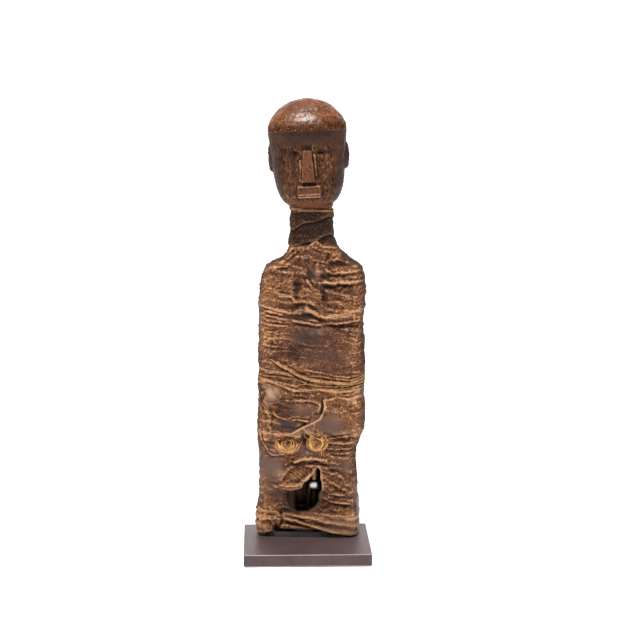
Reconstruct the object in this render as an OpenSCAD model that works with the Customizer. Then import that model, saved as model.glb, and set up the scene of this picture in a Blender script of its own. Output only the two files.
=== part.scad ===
// A carved wooden doll bound in dried hide, standing on a steel display stand.
// The stand's base is centred on the origin, +Z is up, and the doll faces -Y.
// Every height of the doll is counted from the top of the base block.

/* [Base] */
// Width of the base block
base_w = 100; // [84:1:140]
// Depth of the base block, front to back
base_d = 90; // [80:1:130]
// Thickness of the steel base block
base_t = 9.2; // [7.6:0.1:16]
// Thickness of the felt glued under the base
felt_t = 0.8; // [0.5:0.1:2]
// Width of the block's border that the felt leaves free
felt_inset = 1; // [0.5:0.5:6]
// Width of the bevel along the block's upper edges
base_bevel = 0.6; // [0.2:0.1:1.5]

/* [Spindle] */
// Diameter of the steel rod
rod_d = 6; // [4:0.1:8]
// Length of rod above the top of the base
rod_rise = 124; // [100:1:150]
// Room over the rod's end in its hole in the trunk
rod_end = 4; // [2:0.5:8]
// Radial running clearance of the rod in the base and in the liner tube
running_fit = 0.05; // [0.02:0.01:0.1]
// Distance of the rod behind the middle of the base
rod_y = 20; // [5:1:24]
// Distance of the rod to the right of the middle of the base
rod_x = 7; // [-10:1:12]
// Face clearance where the spindle turns on the base
turn_gap = 0.1; // [0.05:0.05:0.3]
// Thickness of the levelling plate under the shorter leg
plate_t = 4; // [3:0.2:6]
// Width of the levelling plate
plate_w = 38; // [30:1:44]
// Outer diameter of the washer under the base
washer_d = 12; // [11:0.5:14]
// Thickness of the washer
washer_t = 1; // [0.6:0.1:1.6]
// Width across the flats of the retaining nut
nut_flats = 10; // [9:0.5:11]
// Height of the retaining nut
nut_h = 3.6; // [3:0.1:4]
// Outer diameter of the stop collar that carries the doll
collar_d = 13; // [12:0.5:16]
// Height of the stop collar
collar_h = 6.5; // [5:0.5:8]

/* [Wooden doll] */
// Turn of the doll on its stand, seen from above
doll_turn = -4; // [-30:1:30]
// Distance from the rod to the middle of the doll
doll_shift = -2; // [-5:0.5:2]
// Width of the wooden trunk
trunk_w = 78; // [65:1:94]
// Depth of the wooden trunk
trunk_d = 26; // [20:1:34]
// Width of the neck
neck_w = 28; // [24:1:34]
// Distance between the legs
leg_gap = 30; // [20:1:32]
// Height of the space between the legs
leg_h = 56; // [46:0.1:68]
// Inward step of the right leg below the hip
hip_step = 5; // [0:0.5:8]
// Width of the head across the brow
head_w = 60; // [50:1:70]
// Depth of the head
head_d = 46; // [38:1:48]
// Height of the head above the neck
head_h = 82; // [70:0.5:95]
// Sideways lean of the head
head_lean = -3.2; // [-8:0.2:8]
// Wall of the liner tube in the trunk
liner_wall = 0.95; // [0.6:0.05:1.5]
// Length of the liner tube above the crotch
liner_len = 72; // [60:1:90]
// Length of the liner tube below the crotch
liner_drop = 12; // [6:1:16]

/* [Hide wraps] */
// Thickness of a hide wrap with its wrinkles
wrap_t = 2.6; // [1.8:0.1:3.4]
// Space between the wood and the hide
skin_gap = 0.15; // [0.1:0.05:0.5]
// Space between one wrap and the next
lap_gap = 0.3; // [0.2:0.1:0.6]
// Height of the hem above the base
hem_lift = 0.8; // [0.5:0.1:3]
// Height of the rolled hem
hem_h = 17.2; // [14:0.2:22]
// Extra thickness of the rolled hem
hem_roll_t = 2.2; // [1:0.1:3]
// Height of the hem's raised edge over the levelling plate
hem_arch = 1.5; // [1.3:0.1:4.9]
// Height of the lower wrap
skirt_h = 64.7; // [58:0.1:76]
// Height of the hip wrap
hip_h = 37; // [31:1:46]
// Height of the waist cords
cords_h = 22; // [18:1:28]
// Number of strands around the waist
strands = 4; // [3:1:5]
// Height of the chest wrap above the waist cords
chest_h = 43.5; // [36:0.5:54]
// Height of the shoulder wrap up to the slope of the shoulders
yoke_h = 20; // [16:1:28]
// Height of the shoulders' slope
slope_h = 14; // [11:1:20]
// Height of the slope from the shoulders to the neck
nape_h = 13; // [9:1:16]
// Height of the neck binding
neck_h = 33; // [28:1:42]
// Thickness of the flap and the cords that lie on the wraps
over_t = 1.2; // [0.8:0.1:2]
// Radius of the larger knot
knot_r = 9.5; // [7:0.5:11]
// Distance between the lacing's stitches
stitch_step = 13; // [10:1:20]

/* [Hidden] */
$fn = 48;

eps = 0.01;
sheet = 0.02;
stand_top = felt_t + base_t;
outer_t = skin_gap + wrap_t;
half_w = trunk_w / 2;
half_d = trunk_d / 2;
corner_r = min(8, half_d - 1);
// Heights of the doll's wraps, from the hem up
skirt_z = hem_lift + hem_h + lap_gap;
hip_z = skirt_z + skirt_h + lap_gap;
chest_z = hip_z + hip_h + lap_gap;
yoke_z = chest_z + cords_h + chest_h + lap_gap;
slope_z = yoke_z + yoke_h;
shoulder_z = slope_z + slope_h;
nape_z = shoulder_z + nape_h;
head_z = nape_z + neck_h;
// Sides of the levelling plate in the doll's frame, and the hem's room around it
plate_x1 = 8.5;
plate_x0 = plate_x1 - plate_w;
plate_clear = 0.8;
// The nut and washer sit in a recess under the base
recess_r = nut_flats / sqrt(3) + 3.2;
recess_h = felt_t + nut_h + washer_t + turn_gap;
nut_z = felt_t;
// The liner tube slides on the rod and stands on the collar
bore_r = rod_d / 2 + running_fit;
liner_r = bore_r + liner_wall;
liner_z = leg_h - liner_drop;
collar_z = liner_z - turn_gap - collar_h;
// The trunk's hole takes the liner tube and all of the rod
hole_z = max(leg_h + liner_len, rod_rise + rod_end);
// Outline of the tear in the front of the lower wrap, from the crotch down
tear = [[-3, 1], [5, 10], [9, 8], [8, -1], [5, -7], [9, -12], [5, -24],
        [-7, -28], [-17, -22], [-14, -12], [-5, -7]];

// --- placing -------------------------------------------------------------

// The spindle's axis, with the doll's turn
module on_spindle() {
    translate([rod_x, rod_y, stand_top]) rotate(doll_turn) children();
}

// The doll's own frame: its middle, on top of the base
module on_doll() {
    on_spindle() translate([doll_shift, 0, 0]) children();
}

// --- shapes that repeat --------------------------------------------------

// Rectangle from x0 to x1 and half depth d, with round corners
module round_slab_2d(x0, x1, d, r) {
    translate([x0 + r, -d]) square([x1 - x0 - 2 * r, 2 * d]);
    translate([x0, r - d]) square([x1 - x0, 2 * (d - r)]);
    for (x = [x0 + r, x1 - r], y = [r - d, d - r])
        translate([x, y]) circle(r);
}

// The same with a height, grown by g on every side
module round_slab(x0, x1, d, r, g, z, h) {
    translate([0, 0, z]) linear_extrude(h)
        round_slab_2d(x0 - g, x1 + g, d + g, r + g);
}

// A wall of thickness t that follows the trunk's outline
module sleeve(x0, x1, t, z, h) {
    translate([0, 0, z]) linear_extrude(h) difference() {
        round_slab_2d(x0 - skin_gap - t, x1 + skin_gap + t,
                      half_d + skin_gap + t, corner_r + skin_gap + t);
        round_slab_2d(x0 - skin_gap, x1 + skin_gap,
                      half_d + skin_gap, corner_r + skin_gap);
    }
}

// A wall that lies on the trunk's wraps
module over_sleeve(z, h) {
    translate([0, 0, z]) linear_extrude(h) difference() {
        round_slab_2d(-half_w - outer_t - over_t, half_w + outer_t + over_t,
                      half_d + outer_t + over_t, corner_r + outer_t + over_t);
        round_slab_2d(-half_w - outer_t - eps, half_w + outer_t + eps,
                      half_d + outer_t + eps, corner_r + outer_t + eps);
    }
}

// Shoulders and their slope up to the neck, grown by g
module shoulder_form(g) {
    shoulder_l = half_w - 5.5;
    shoulder_r = half_w - 2.5;
    slope_d = half_d - 1;
    neck_r = neck_w / 2;
    round_slab(-half_w, half_w, half_d, corner_r, g, yoke_z - eps, yoke_h + 2 * eps);
    hull() {
        round_slab(-half_w, half_w, half_d, corner_r, g, slope_z, sheet, $fn = 32);
        round_slab(-shoulder_l, shoulder_r, slope_d, corner_r - 1, g,
                   shoulder_z + g / 2 - sheet, sheet, $fn = 32);
    }
    hull() {
        round_slab(-shoulder_l, shoulder_r, slope_d, corner_r - 1, g,
                   shoulder_z + g / 2 - 2 * sheet, sheet, $fn = 32);
        round_slab(-neck_r - 2, neck_r + 4, half_d - 1, corner_r - 1, g,
                   nape_z - sheet, sheet, $fn = 32);
    }
}

// A domed lump that lies on the front of the lower wrap
module knot(r, rise) {
    ball_r = (r * r + rise * rise) / (2 * rise);
    rotate([90, 0, 0]) intersection() {
        translate([0, 0, rise - ball_r]) sphere(ball_r);
        cylinder(r = r, h = rise);
    }
}

// --- stand ---------------------------------------------------------------

module base_felt() {
    color("dimgray") difference() {
        translate([felt_inset - base_w / 2, felt_inset - base_d / 2, 0])
            cube([base_w - 2 * felt_inset, base_d - 2 * felt_inset, felt_t]);
        translate([rod_x, rod_y, -1]) cylinder(r = recess_r, h = felt_t + 2);
    }
}

// Bar of the block's thickness with both upper edges bevelled
module bevelled_bar(w, length) {
    linear_extrude(length, center = true)
        polygon([[-w / 2, felt_t], [w / 2, felt_t], [w / 2, stand_top - base_bevel],
                 [w / 2 - base_bevel, stand_top], [base_bevel - w / 2, stand_top],
                 [-w / 2, stand_top - base_bevel]]);
}

module base_block() {
    color([0.33, 0.27, 0.27]) difference() {
        intersection() {
            rotate([90, 0, 0]) bevelled_bar(base_w, base_d);
            rotate([90, 0, 90]) bevelled_bar(base_d, base_w);
        }
        translate([rod_x, rod_y, felt_t - 1]) {
            cylinder(r = bore_r, h = base_t + 2);
            cylinder(r = recess_r, h = recess_h - felt_t + 1);
        }
    }
}

module support_rod() {
    color("silver") translate([rod_x, rod_y, nut_z])
        cylinder(d = rod_d, h = stand_top - nut_z + rod_rise);
}

module levelling_plate() {
    color([0.62, 0.61, 0.6]) on_spindle() difference() {
        translate([plate_x0 + doll_shift, -half_d - outer_t, turn_gap])
            cube([plate_w, 2 * half_d + outer_t - 2, plate_t]);
        translate([0, 0, -1]) cylinder(d = rod_d, h = plate_t + 2);
    }
}

module washer() {
    color("darkgray") translate([rod_x, rod_y, nut_z + nut_h]) difference() {
        cylinder(d = washer_d, h = washer_t);
        translate([0, 0, -1]) cylinder(d = rod_d, h = washer_t + 2);
    }
}

module retaining_nut() {
    color("gray") translate([rod_x, rod_y, nut_z]) difference() {
        cylinder(r = nut_flats / sqrt(3), h = nut_h, $fn = 6);
        translate([0, 0, -1]) cylinder(d = rod_d, h = nut_h + 2);
    }
}

// Ring clamped on the rod, with bevelled rims
module stop_collar() {
    rim = 0.8;
    color("silver") on_spindle() translate([0, 0, collar_z]) rotate_extrude()
        polygon([[rod_d / 2, 0], [collar_d / 2 - rim, 0], [collar_d / 2, rim],
                 [collar_d / 2, collar_h - rim], [collar_d / 2 - rim, collar_h],
                 [rod_d / 2, collar_h]]);
}

// --- doll ----------------------------------------------------------------

module liner_tube() {
    tube_h = liner_drop + liner_len;
    color("darkgoldenrod") on_spindle() translate([0, 0, liner_z]) difference() {
        cylinder(r = liner_r, h = tube_h);
        translate([0, 0, -1]) cylinder(r = bore_r, h = tube_h + 2);
    }
}

// Dome, long face, ears, nose and mouth
module head() {
    brow_z = head_h - 25;
    cheek_z = 26;
    ear_r = 9.5;
    ear_root = 6;
    face_y = -head_d / 2;
    translate([0, 0, head_z]) rotate([0, head_lean, 0]) {
        // face, from the jaw to the brow
        hull() {
            round_slab(-17, 17, head_d / 2 - 8, 7, 0, -2, sheet, $fn = 32);
            round_slab(2.5 - head_w / 2, head_w / 2 - 2.5, head_d / 2 - 3, 15, 0,
                       cheek_z, sheet, $fn = 32);
            round_slab(1 - head_w / 2, head_w / 2 - 1, head_d / 2 - 3, 15, 0,
                       brow_z + 1, sheet, $fn = 32);
        }
        // dome above the brow's ledge
        translate([0, 0, brow_z]) intersection() {
            scale([head_w / 2, head_d / 2, head_h - brow_z]) sphere(1);
            cylinder(r = head_w, h = head_h);
        }
        // ears
        for (side = [-1, 1])
            translate([side * (head_w / 2 - ear_root), 3, brow_z - 19])
                rotate([0, side * 90, 0]) cylinder(r = ear_r, h = ear_root + 1.6);
        // nose
        translate([0, face_y + 4, 0]) hull() {
            translate([-5.5, -3, 19]) cube([11, 4, 2]);
            translate([-3, -1.5, brow_z - 14]) cube([6, 3, 2]);
        }
        // mouth
        translate([-9, face_y + 2.5, 6]) cube([18, 8, 9]);
    }
}

module carved_figure() {
    color([0.38, 0.25, 0.17]) difference() {
        on_doll() {
            head();
            shoulder_form(0);
            // neck, well into the shoulders and the head
            round_slab(-neck_w / 2, neck_w / 2, half_d - 1.5, corner_r, 0,
                       shoulder_z, head_z - shoulder_z + 1);
            // trunk
            round_slab(-half_w, half_w, half_d, corner_r, 0, hip_z, yoke_z - hip_z);
            // hips and legs
            difference() {
                round_slab(-half_w, half_w - hip_step, half_d, corner_r, 0,
                           hem_lift + eps, hip_z - hem_lift);
                translate([-leg_gap / 2 - doll_shift, -trunk_d, -1])
                    cube([leg_gap, 2 * trunk_d, leg_h + 1]);
                translate([-trunk_w, -trunk_d, -1])
                    cube([trunk_w, 2 * trunk_d, plate_t + 2 * turn_gap + 1]);
            }
        }
        on_spindle() translate([0, 0, leg_h - 1])
            cylinder(r = liner_r, h = hole_z - leg_h + 1);
    }
}

module hem_roll() {
    color([0.45, 0.34, 0.27]) on_doll() difference() {
        sleeve(-half_w, half_w - hip_step, wrap_t + hem_roll_t, hem_lift, hem_h);
        // raised edge, clear of the levelling plate
        translate([plate_x0 - plate_clear, -trunk_w, -1])
            cube([plate_w + 2 * plate_clear, 2 * trunk_w,
                  turn_gap + plate_t + hem_arch + 1]);
    }
}

module skirt_wrap() {
    color([0.47, 0.36, 0.27]) on_doll() difference() {
        sleeve(-half_w, half_w - hip_step, wrap_t, skirt_z, skirt_h);
        translate([0, 0, leg_h]) rotate([90, 0, 0])
            linear_extrude(trunk_d) polygon(tear);
    }
}

module hip_wrap() {
    color([0.5, 0.37, 0.28]) on_doll()
        sleeve(-half_w, half_w, wrap_t, hip_z, hip_h);
}

// A sheet that laps over the right half of the hips, with a slanting edge.
// It ends on the right side face, short of the lacing down the back.
module hip_flap() {
    flap_h = hip_h - 9;
    edge = [[10, flap_h], [7, flap_h - 13], [-11, 5], [-20, 1], [-19, 0],
            [trunk_w, 0], [trunk_w, flap_h]];
    color([0.42, 0.3, 0.26]) on_doll() intersection() {
        over_sleeve(hip_z, flap_h);
        translate([0, half_d - 4, hip_z]) rotate([90, 0, 0])
            linear_extrude(2 * trunk_d) polygon(edge);
    }
}

module knot_left() {
    color([0.62, 0.44, 0.3]) on_doll()
        translate([-19, -half_d - outer_t, hip_z - knot_r - 0.5]) knot(knot_r, 4);
}

module knot_right() {
    small_r = knot_r - 1.5;
    color([0.58, 0.42, 0.29]) on_doll()
        translate([5.7, -half_d - outer_t, hip_z - small_r - 0.5]) knot(small_r, 3.4);
}

module chest_wrap() {
    color([0.4, 0.28, 0.2]) on_doll()
        sleeve(-half_w, half_w, wrap_t, chest_z, cords_h + chest_h);
}

// Strands of cord side by side around the waist
module waist_cords() {
    strand_h = (cords_h - 2) / strands;
    color([0.56, 0.4, 0.27]) on_doll()
        for (i = [0 : strands - 1])
            over_sleeve(chest_z + 1 + i * strand_h, strand_h - 0.4);
}

module shoulder_yoke() {
    color([0.5, 0.36, 0.26]) on_doll() difference() {
        shoulder_form(outer_t);
        shoulder_form(skin_gap);
        translate([-trunk_w, -trunk_w, nape_z - lap_gap])
            cube([2 * trunk_w, 2 * trunk_w, outer_t + 1]);
        translate([-trunk_w, -trunk_w, yoke_z - 1])
            cube([2 * trunk_w, 2 * trunk_w, 1]);
        round_slab(-half_w, half_w, half_d, corner_r, skin_gap, yoke_z - 1, 2);
        round_slab(-neck_w / 2, neck_w / 2, half_d - 1.5, corner_r, skin_gap,
                   shoulder_z, nape_h + outer_t);
    }
}

module neck_binding() {
    color([0.3, 0.2, 0.14]) on_doll()
        translate([0, 0, nape_z]) linear_extrude(neck_h - 3) difference() {
            round_slab_2d(-neck_w / 2 - outer_t, neck_w / 2 + outer_t,
                          half_d - 1.5 + outer_t, corner_r + outer_t);
            round_slab_2d(-neck_w / 2 - skin_gap, neck_w / 2 + skin_gap,
                          half_d - 1.5 + skin_gap, corner_r + skin_gap);
        }
}

// Slanting stitches of thong that close the wraps down the back
module back_lacing() {
    stitch = [12, over_t, 2.2];
    low_n = floor((hip_h - 8) / stitch_step);
    high_n = floor((chest_h + yoke_h - 8) / stitch_step);
    low = [for (i = [0 : low_n]) hip_z + 4 + i * stitch_step];
    high = [for (i = [0 : high_n]) chest_z + cords_h + 5 + i * stitch_step];
    color([0.55, 0.4, 0.27]) on_doll()
        for (z = concat(low, high))
            translate([0, half_d + outer_t + eps + over_t / 2, z])
                rotate([0, 24, 0]) cube(stitch, center = true);
}

base_felt();
base_block();
support_rod();
levelling_plate();
washer();
retaining_nut();
stop_collar();
liner_tube();
carved_figure();
hem_roll();
skirt_wrap();
hip_wrap();
hip_flap();
knot_left();
knot_right();
chest_wrap();
waist_cords();
shoulder_yoke();
neck_binding();
back_lacing();
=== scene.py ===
"""A carved wooden doll bound in dried hide, on a steel display stand.

The doll's pieces are shaped in the doll's own frame, in millimetres: x to the right, y to the back,
z up from the top of the base block. place() carries them into the frame's metres.
"""
import math

import bmesh
import bpy
import numpy as np
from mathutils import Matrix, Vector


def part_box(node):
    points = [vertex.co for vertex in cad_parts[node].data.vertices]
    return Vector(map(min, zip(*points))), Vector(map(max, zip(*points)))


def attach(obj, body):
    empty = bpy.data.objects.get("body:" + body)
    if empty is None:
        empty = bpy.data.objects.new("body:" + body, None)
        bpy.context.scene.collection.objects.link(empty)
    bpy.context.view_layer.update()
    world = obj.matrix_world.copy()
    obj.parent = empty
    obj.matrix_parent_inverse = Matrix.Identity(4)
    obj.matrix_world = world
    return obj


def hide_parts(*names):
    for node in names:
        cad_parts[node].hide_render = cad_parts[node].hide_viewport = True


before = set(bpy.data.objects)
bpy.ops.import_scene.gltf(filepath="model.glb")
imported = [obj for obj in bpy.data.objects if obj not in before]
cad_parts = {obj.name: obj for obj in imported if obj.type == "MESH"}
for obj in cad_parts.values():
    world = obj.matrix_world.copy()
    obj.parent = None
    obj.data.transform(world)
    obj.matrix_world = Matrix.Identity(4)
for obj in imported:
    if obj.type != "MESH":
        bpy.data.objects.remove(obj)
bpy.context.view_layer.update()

import openvdb
from mathutils import Matrix, Vector

MM = 0.001

# --- sizes taken from the frame ------------------------------------------------------------------

rod_low, rod_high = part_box("support_rod")
block_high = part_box("base_block")[1]
AXIS = (rod_low + rod_high) / 2
BASE_TOP = block_high.z
DOLL_TURN = math.radians(-4)
DOLL_SHIFT = -2.0


def height_of(node):
    """Lowest and highest z of a CAD node, in millimetres above the base block."""
    low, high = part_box(node)
    return (low.z - BASE_TOP) / MM, (high.z - BASE_TOP) / MM


NECK_TOP = height_of("neck_binding")[1]
# half of the wooden trunk's width and depth, and the hide's mean thickness over it
HALF_W = 39.0
HALF_D = 13.0
WRAP = 2.75
HEAD_Z = NECK_TOP + 3.0
HEAD_LEAN = math.radians(-3.0)
HEAD_OVER = 0.8
CROTCH_Z = 56.0
LEG_INNER = (-13.0, 17.0)


# --- noise and small numeric helpers -------------------------------------------------------------

LATTICE = np.random.default_rng(11).random((48, 48, 48)).astype(np.float32)


def noise(points, size, seed=0, stretch=(1, 1, 1)):
    """Smooth value noise from -1 to 1 at points in mm; size is the width of a lump."""
    p = points / (np.array(stretch) * size) + np.array([17.3, 5.9, 29.1]) * (seed + 1)
    cell = np.floor(p).astype(int)
    t = p - cell
    t = t * t * t * (t * (6 * t - 15) + 10)
    total = np.zeros(len(p))
    for corner in range(8):
        step = np.array([corner & 1, corner >> 1 & 1, corner >> 2 & 1])
        index = (cell + step) % 48
        weight = np.prod(np.where(step, t, 1 - t), axis=1)
        total += weight * LATTICE[index[:, 0], index[:, 1], index[:, 2]]
    return 2 * total - 1


def layered(points, size, octaves, seed=0, stretch=(1, 1, 1)):
    """Sum of noises, each half as wide and a little over half as strong."""
    total = 0
    for i in range(octaves):
        total = total + noise(points, size / 2 ** i, seed + 7 * i, stretch) * 0.55 ** i
    return total


def creases(points, size, seed=0, stretch=(1, 1, 1)):
    """Sharp branching ridges from 0 to 1, as dried skin wrinkles."""
    bend = points + 0.5 * size * np.stack(
        [noise(points, size * 1.7, seed + 31 + k) for k in range(3)], axis=1)
    return (1 - np.abs(noise(bend, size, seed, stretch))) ** 3


def smooth_step(x, low, high):
    t = np.clip((x - low) / (high - low), 0, 1)
    return t * t * (3 - 2 * t)


def blob(x, z, centre, radii, soft=1.0):
    """1 at a centre, falling off to 0 past an ellipse."""
    d = ((x - centre[0]) / radii[0]) ** 2 + ((z - centre[1]) / radii[1]) ** 2
    return np.exp(-(d ** (1.4 / soft)))


def distance_to_line(x, z, line):
    """Distance to a polyline, with the share of its length and the signed side at the nearest point."""
    line = np.array(line, float)
    lengths = np.hypot(*np.diff(line, axis=0).T)
    start = np.concatenate([[0], np.cumsum(lengths)])
    best = np.full(len(x), 1e9)
    share = np.zeros(len(x))
    side = np.zeros(len(x))
    for i, length in enumerate(lengths):
        (ax, az), (bx, bz) = line[i], line[i + 1]
        dx, dz = (bx - ax) / length, (bz - az) / length
        t = np.clip((x - ax) * dx + (z - az) * dz, 0, length)
        d = np.hypot(x - ax - t * dx, z - az - t * dz)
        near = d < best
        best = np.where(near, d, best)
        share = np.where(near, (start[i] + t) / start[-1], share)
        side = np.where(near, (x - ax) * dz - (z - az) * dx, side)
    return best, share, np.sign(side)


def inside(x, z, outline):
    """True for points inside a closed outline."""
    hit = np.zeros(len(x), bool)
    previous = outline[-1]
    for corner in outline:
        (ax, az), (bx, bz) = previous, corner
        if az != bz:
            crosses = (az > z) != (bz > z)
            hit ^= crosses & (x < (bx - ax) * (z - az) / (bz - az) + ax)
        previous = corner
    return hit


# --- meshes --------------------------------------------------------------------------------------

def place(points):
    """Doll's millimetres to the frame's metres."""
    p = np.array(points, float)
    x = p[:, 0] + DOLL_SHIFT
    y = p[:, 1]
    c, s = math.cos(DOLL_TURN), math.sin(DOLL_TURN)
    return np.stack([AXIS.x + (c * x - s * y) * MM, AXIS.y + (s * x + c * y) * MM,
                     BASE_TOP + p[:, 2] * MM], axis=1)


def shown(name, mesh):
    """Object that holds a mesh, linked to the scene."""
    made = bpy.data.objects.new(name, mesh)
    bpy.context.scene.collection.objects.link(made)
    return made


def new_mesh(name, points, faces):
    """Object from points in metres and faces, with normals out and smooth shading."""
    mesh = bpy.data.meshes.new(name)
    mesh.from_pydata(points.tolist() if hasattr(points, "tolist") else points, [],
                     faces.tolist() if hasattr(faces, "tolist") else faces)
    mesh.validate()
    work = bmesh.new()
    work.from_mesh(mesh)
    bmesh.ops.remove_doubles(work, verts=work.verts, dist=1e-7)
    bmesh.ops.recalc_face_normals(work, faces=work.faces)
    work.to_mesh(mesh)
    work.free()
    mesh.shade_smooth()
    return shown(name, mesh)


def store(piece, name, values):
    """Keeps one number per point for the material."""
    layer = piece.data.attributes.new(name, "FLOAT", "POINT")
    layer.data.foreach_set("value", np.asarray(values, np.float32))


def points_of(piece):
    flat = np.empty(len(piece.data.vertices) * 3, np.float32)
    piece.data.vertices.foreach_get("co", flat)
    return flat.reshape(-1, 3).astype(float)


def store_relief(piece, passes=10, reach=0.5):
    """Stores how far each point stands above (+1) or below (-1) the surface round it.
    reach is the height in mm that counts as 1."""
    mesh = piece.data
    points = points_of(piece)
    normals = np.empty(len(points) * 3, np.float32)
    mesh.vertex_normals.foreach_get("vector", normals)
    edges = np.empty(len(mesh.edges) * 2, np.int32)
    mesh.edges.foreach_get("vertices", edges)
    a, b = edges[0::2], edges[1::2]
    both = np.concatenate([a, b])
    other = np.concatenate([b, a])
    count = np.maximum(np.bincount(both, minlength=len(points)), 1)
    soft = points.copy()
    for _ in range(passes):
        soft = np.stack([np.bincount(both, soft[other, k], minlength=len(points)) / count
                         for k in range(3)], axis=1)
    height = ((points - soft) * normals.reshape(-1, 3)).sum(1) / (reach * MM)
    store(piece, "relief", np.clip(height, -1.5, 1.5))


def own(piece, node, body, material):
    """Gives a piece its material and its body, and hides the CAD node that it stands for."""
    piece.data.materials.clear()
    piece.data.materials.append(material)
    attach(piece, body)
    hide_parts(node)
    return piece


def tube(path, radius, sides, closed=False):
    """Points and faces of a round tube along a path; radius may be one number or one per ring."""
    path = np.array(path, float)
    count = len(path)
    radius = np.broadcast_to(radius, (count,))
    if closed:
        ahead = np.roll(path, -1, 0) - np.roll(path, 1, 0)
    else:
        ahead = np.gradient(path, axis=0)
    ahead /= np.linalg.norm(ahead, axis=1)[:, None]
    across = np.cross(ahead[0], [0.3, 0.2, 0.93])
    frames = []
    for direction in ahead:
        across = across - direction * across.dot(direction)
        across /= np.linalg.norm(across)
        frames.append((across, np.cross(direction, across)))
    angle = np.arange(sides) * 2 * math.pi / sides
    rings = [path[i] + radius[i] * (np.outer(np.cos(angle), u) + np.outer(np.sin(angle), v))
             for i, (u, v) in enumerate(frames)]
    points = np.concatenate(rings)
    faces = []
    for i in range(count if closed else count - 1):
        low, high = i * sides, (i + 1) % count * sides
        for k in range(sides):
            k2 = (k + 1) % sides
            faces.append((low + k, low + k2, high + k2, high + k))
    if not closed:
        faces.append(tuple(range(sides))[::-1])
        faces.append(tuple((count - 1) * sides + k for k in range(sides)))
    return points, faces


def join_parts(parts):
    """Several (points, faces) as one."""
    points, faces, total = [], [], 0
    for part_points, part_faces in parts:
        points.append(np.array(part_points, float))
        faces += [tuple(i + total for i in face) for face in part_faces]
        total += len(part_points)
    return np.concatenate(points), faces


# --- shader writing ------------------------------------------------------------------------------

class Num:
    """A number that varies over a surface: a socket with Python's arithmetic."""

    def __init__(self, shader, socket):
        self.shader = shader
        self.socket = socket

    def _math(self, operation, a, b):
        made = self.shader.node("ShaderNodeMath", {"operation": operation}, {0: a, 1: b})
        return Num(self.shader, made.outputs[0])

    def __add__(self, other):
        return self._math("ADD", self, other)

    __radd__ = __add__

    def __sub__(self, other):
        return self._math("SUBTRACT", self, other)

    def __rsub__(self, other):
        return self._math("SUBTRACT", other, self)

    def __mul__(self, other):
        return self._math("MULTIPLY", self, other)

    __rmul__ = __mul__

    def __truediv__(self, other):
        return self._math("DIVIDE", self, other)

    def __pow__(self, other):
        return self._math("POWER", self, other)

    def least(self, other):
        return self._math("MINIMUM", self, other)

    def most(self, other):
        return self._math("MAXIMUM", self, other)

    def clamp(self):
        return self.most(0.0).least(1.0)

    def step(self, low, high):
        """0 below low, 1 above high."""
        return ((self - low) / (high - low)).clamp()


class Finish:
    """A material with one Principled shader, written as expressions."""

    def __init__(self, name, **fixed):
        self.material = bpy.data.materials.new(name)
        self.material.use_nodes = True
        self.tree = self.material.node_tree
        self.surface = self.tree.nodes["Principled BSDF"]
        for socket, value in fixed.items():
            label = socket.replace("_", " ").title().replace("Ior", "IOR")
            self.surface.inputs[label].default_value = value
        self.place = self.node("ShaderNodeTexCoord").outputs["Object"]

    def node(self, kind, settings=None, inputs=None):
        made = self.tree.nodes.new(kind)
        for key, value in (settings or {}).items():
            setattr(made, key, value)
        for key, value in (inputs or {}).items():
            self.join(value, made.inputs[key])
        return made

    def join(self, value, socket):
        if isinstance(value, Num):
            value = value.socket
        if isinstance(value, bpy.types.NodeSocket):
            self.tree.links.new(value, socket)
        elif isinstance(value, tuple) and len(value) == 3 and socket.type == "RGBA":
            socket.default_value = (*value, 1)
        else:
            socket.default_value = value

    def stored(self, name):
        return Num(self, self.node("ShaderNodeAttribute", {"attribute_name": name}).outputs["Fac"])

    def mix(self, share, a, b):
        """Colour a where share is 0, colour b where it is 1."""
        made = self.node("ShaderNodeMix", {"data_type": "RGBA"})
        self.join(share, made.inputs[0])
        self.join(a, made.inputs[6])
        self.join(b, made.inputs[7])
        return made.outputs[2]

    def stretched(self, scale):
        return self.node("ShaderNodeMapping", None,
                         {"Vector": self.place, "Scale": scale}).outputs[0]

    def grain(self, size, detail=4.0, stretch=(1, 1, 1), rough=0.6):
        """Noise from 0 to 1 with lumps of that size in mm."""
        made = self.node("ShaderNodeTexNoise", None,
                         {"Vector": self.stretched(stretch), "Scale": 1 / (size * MM),
                          "Detail": detail, "Roughness": rough})
        return Num(self, made.outputs["Fac"])

    def dots(self, size):
        """Distance to scattered points, in shares of their spacing in mm."""
        made = self.node("ShaderNodeTexVoronoi", None,
                         {"Vector": self.place, "Scale": 1 / (size * MM)})
        return Num(self, made.outputs["Distance"])

    def finish(self, colour=None, roughness=None, height=None, depth=0.3, coat=None):
        """Links what varies to the shader; depth is the height's size in mm."""
        for value, socket in ((colour, "Base Color"), (roughness, "Roughness"),
                              (coat, "Coat Weight")):
            if value is not None:
                self.join(value, self.surface.inputs[socket])
        if height is not None:
            bump = self.node("ShaderNodeBump", None,
                             {"Height": height, "Distance": depth * MM, "Strength": 1.0})
            self.join(bump.outputs[0], self.surface.inputs["Normal"])
        return self.material


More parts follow.
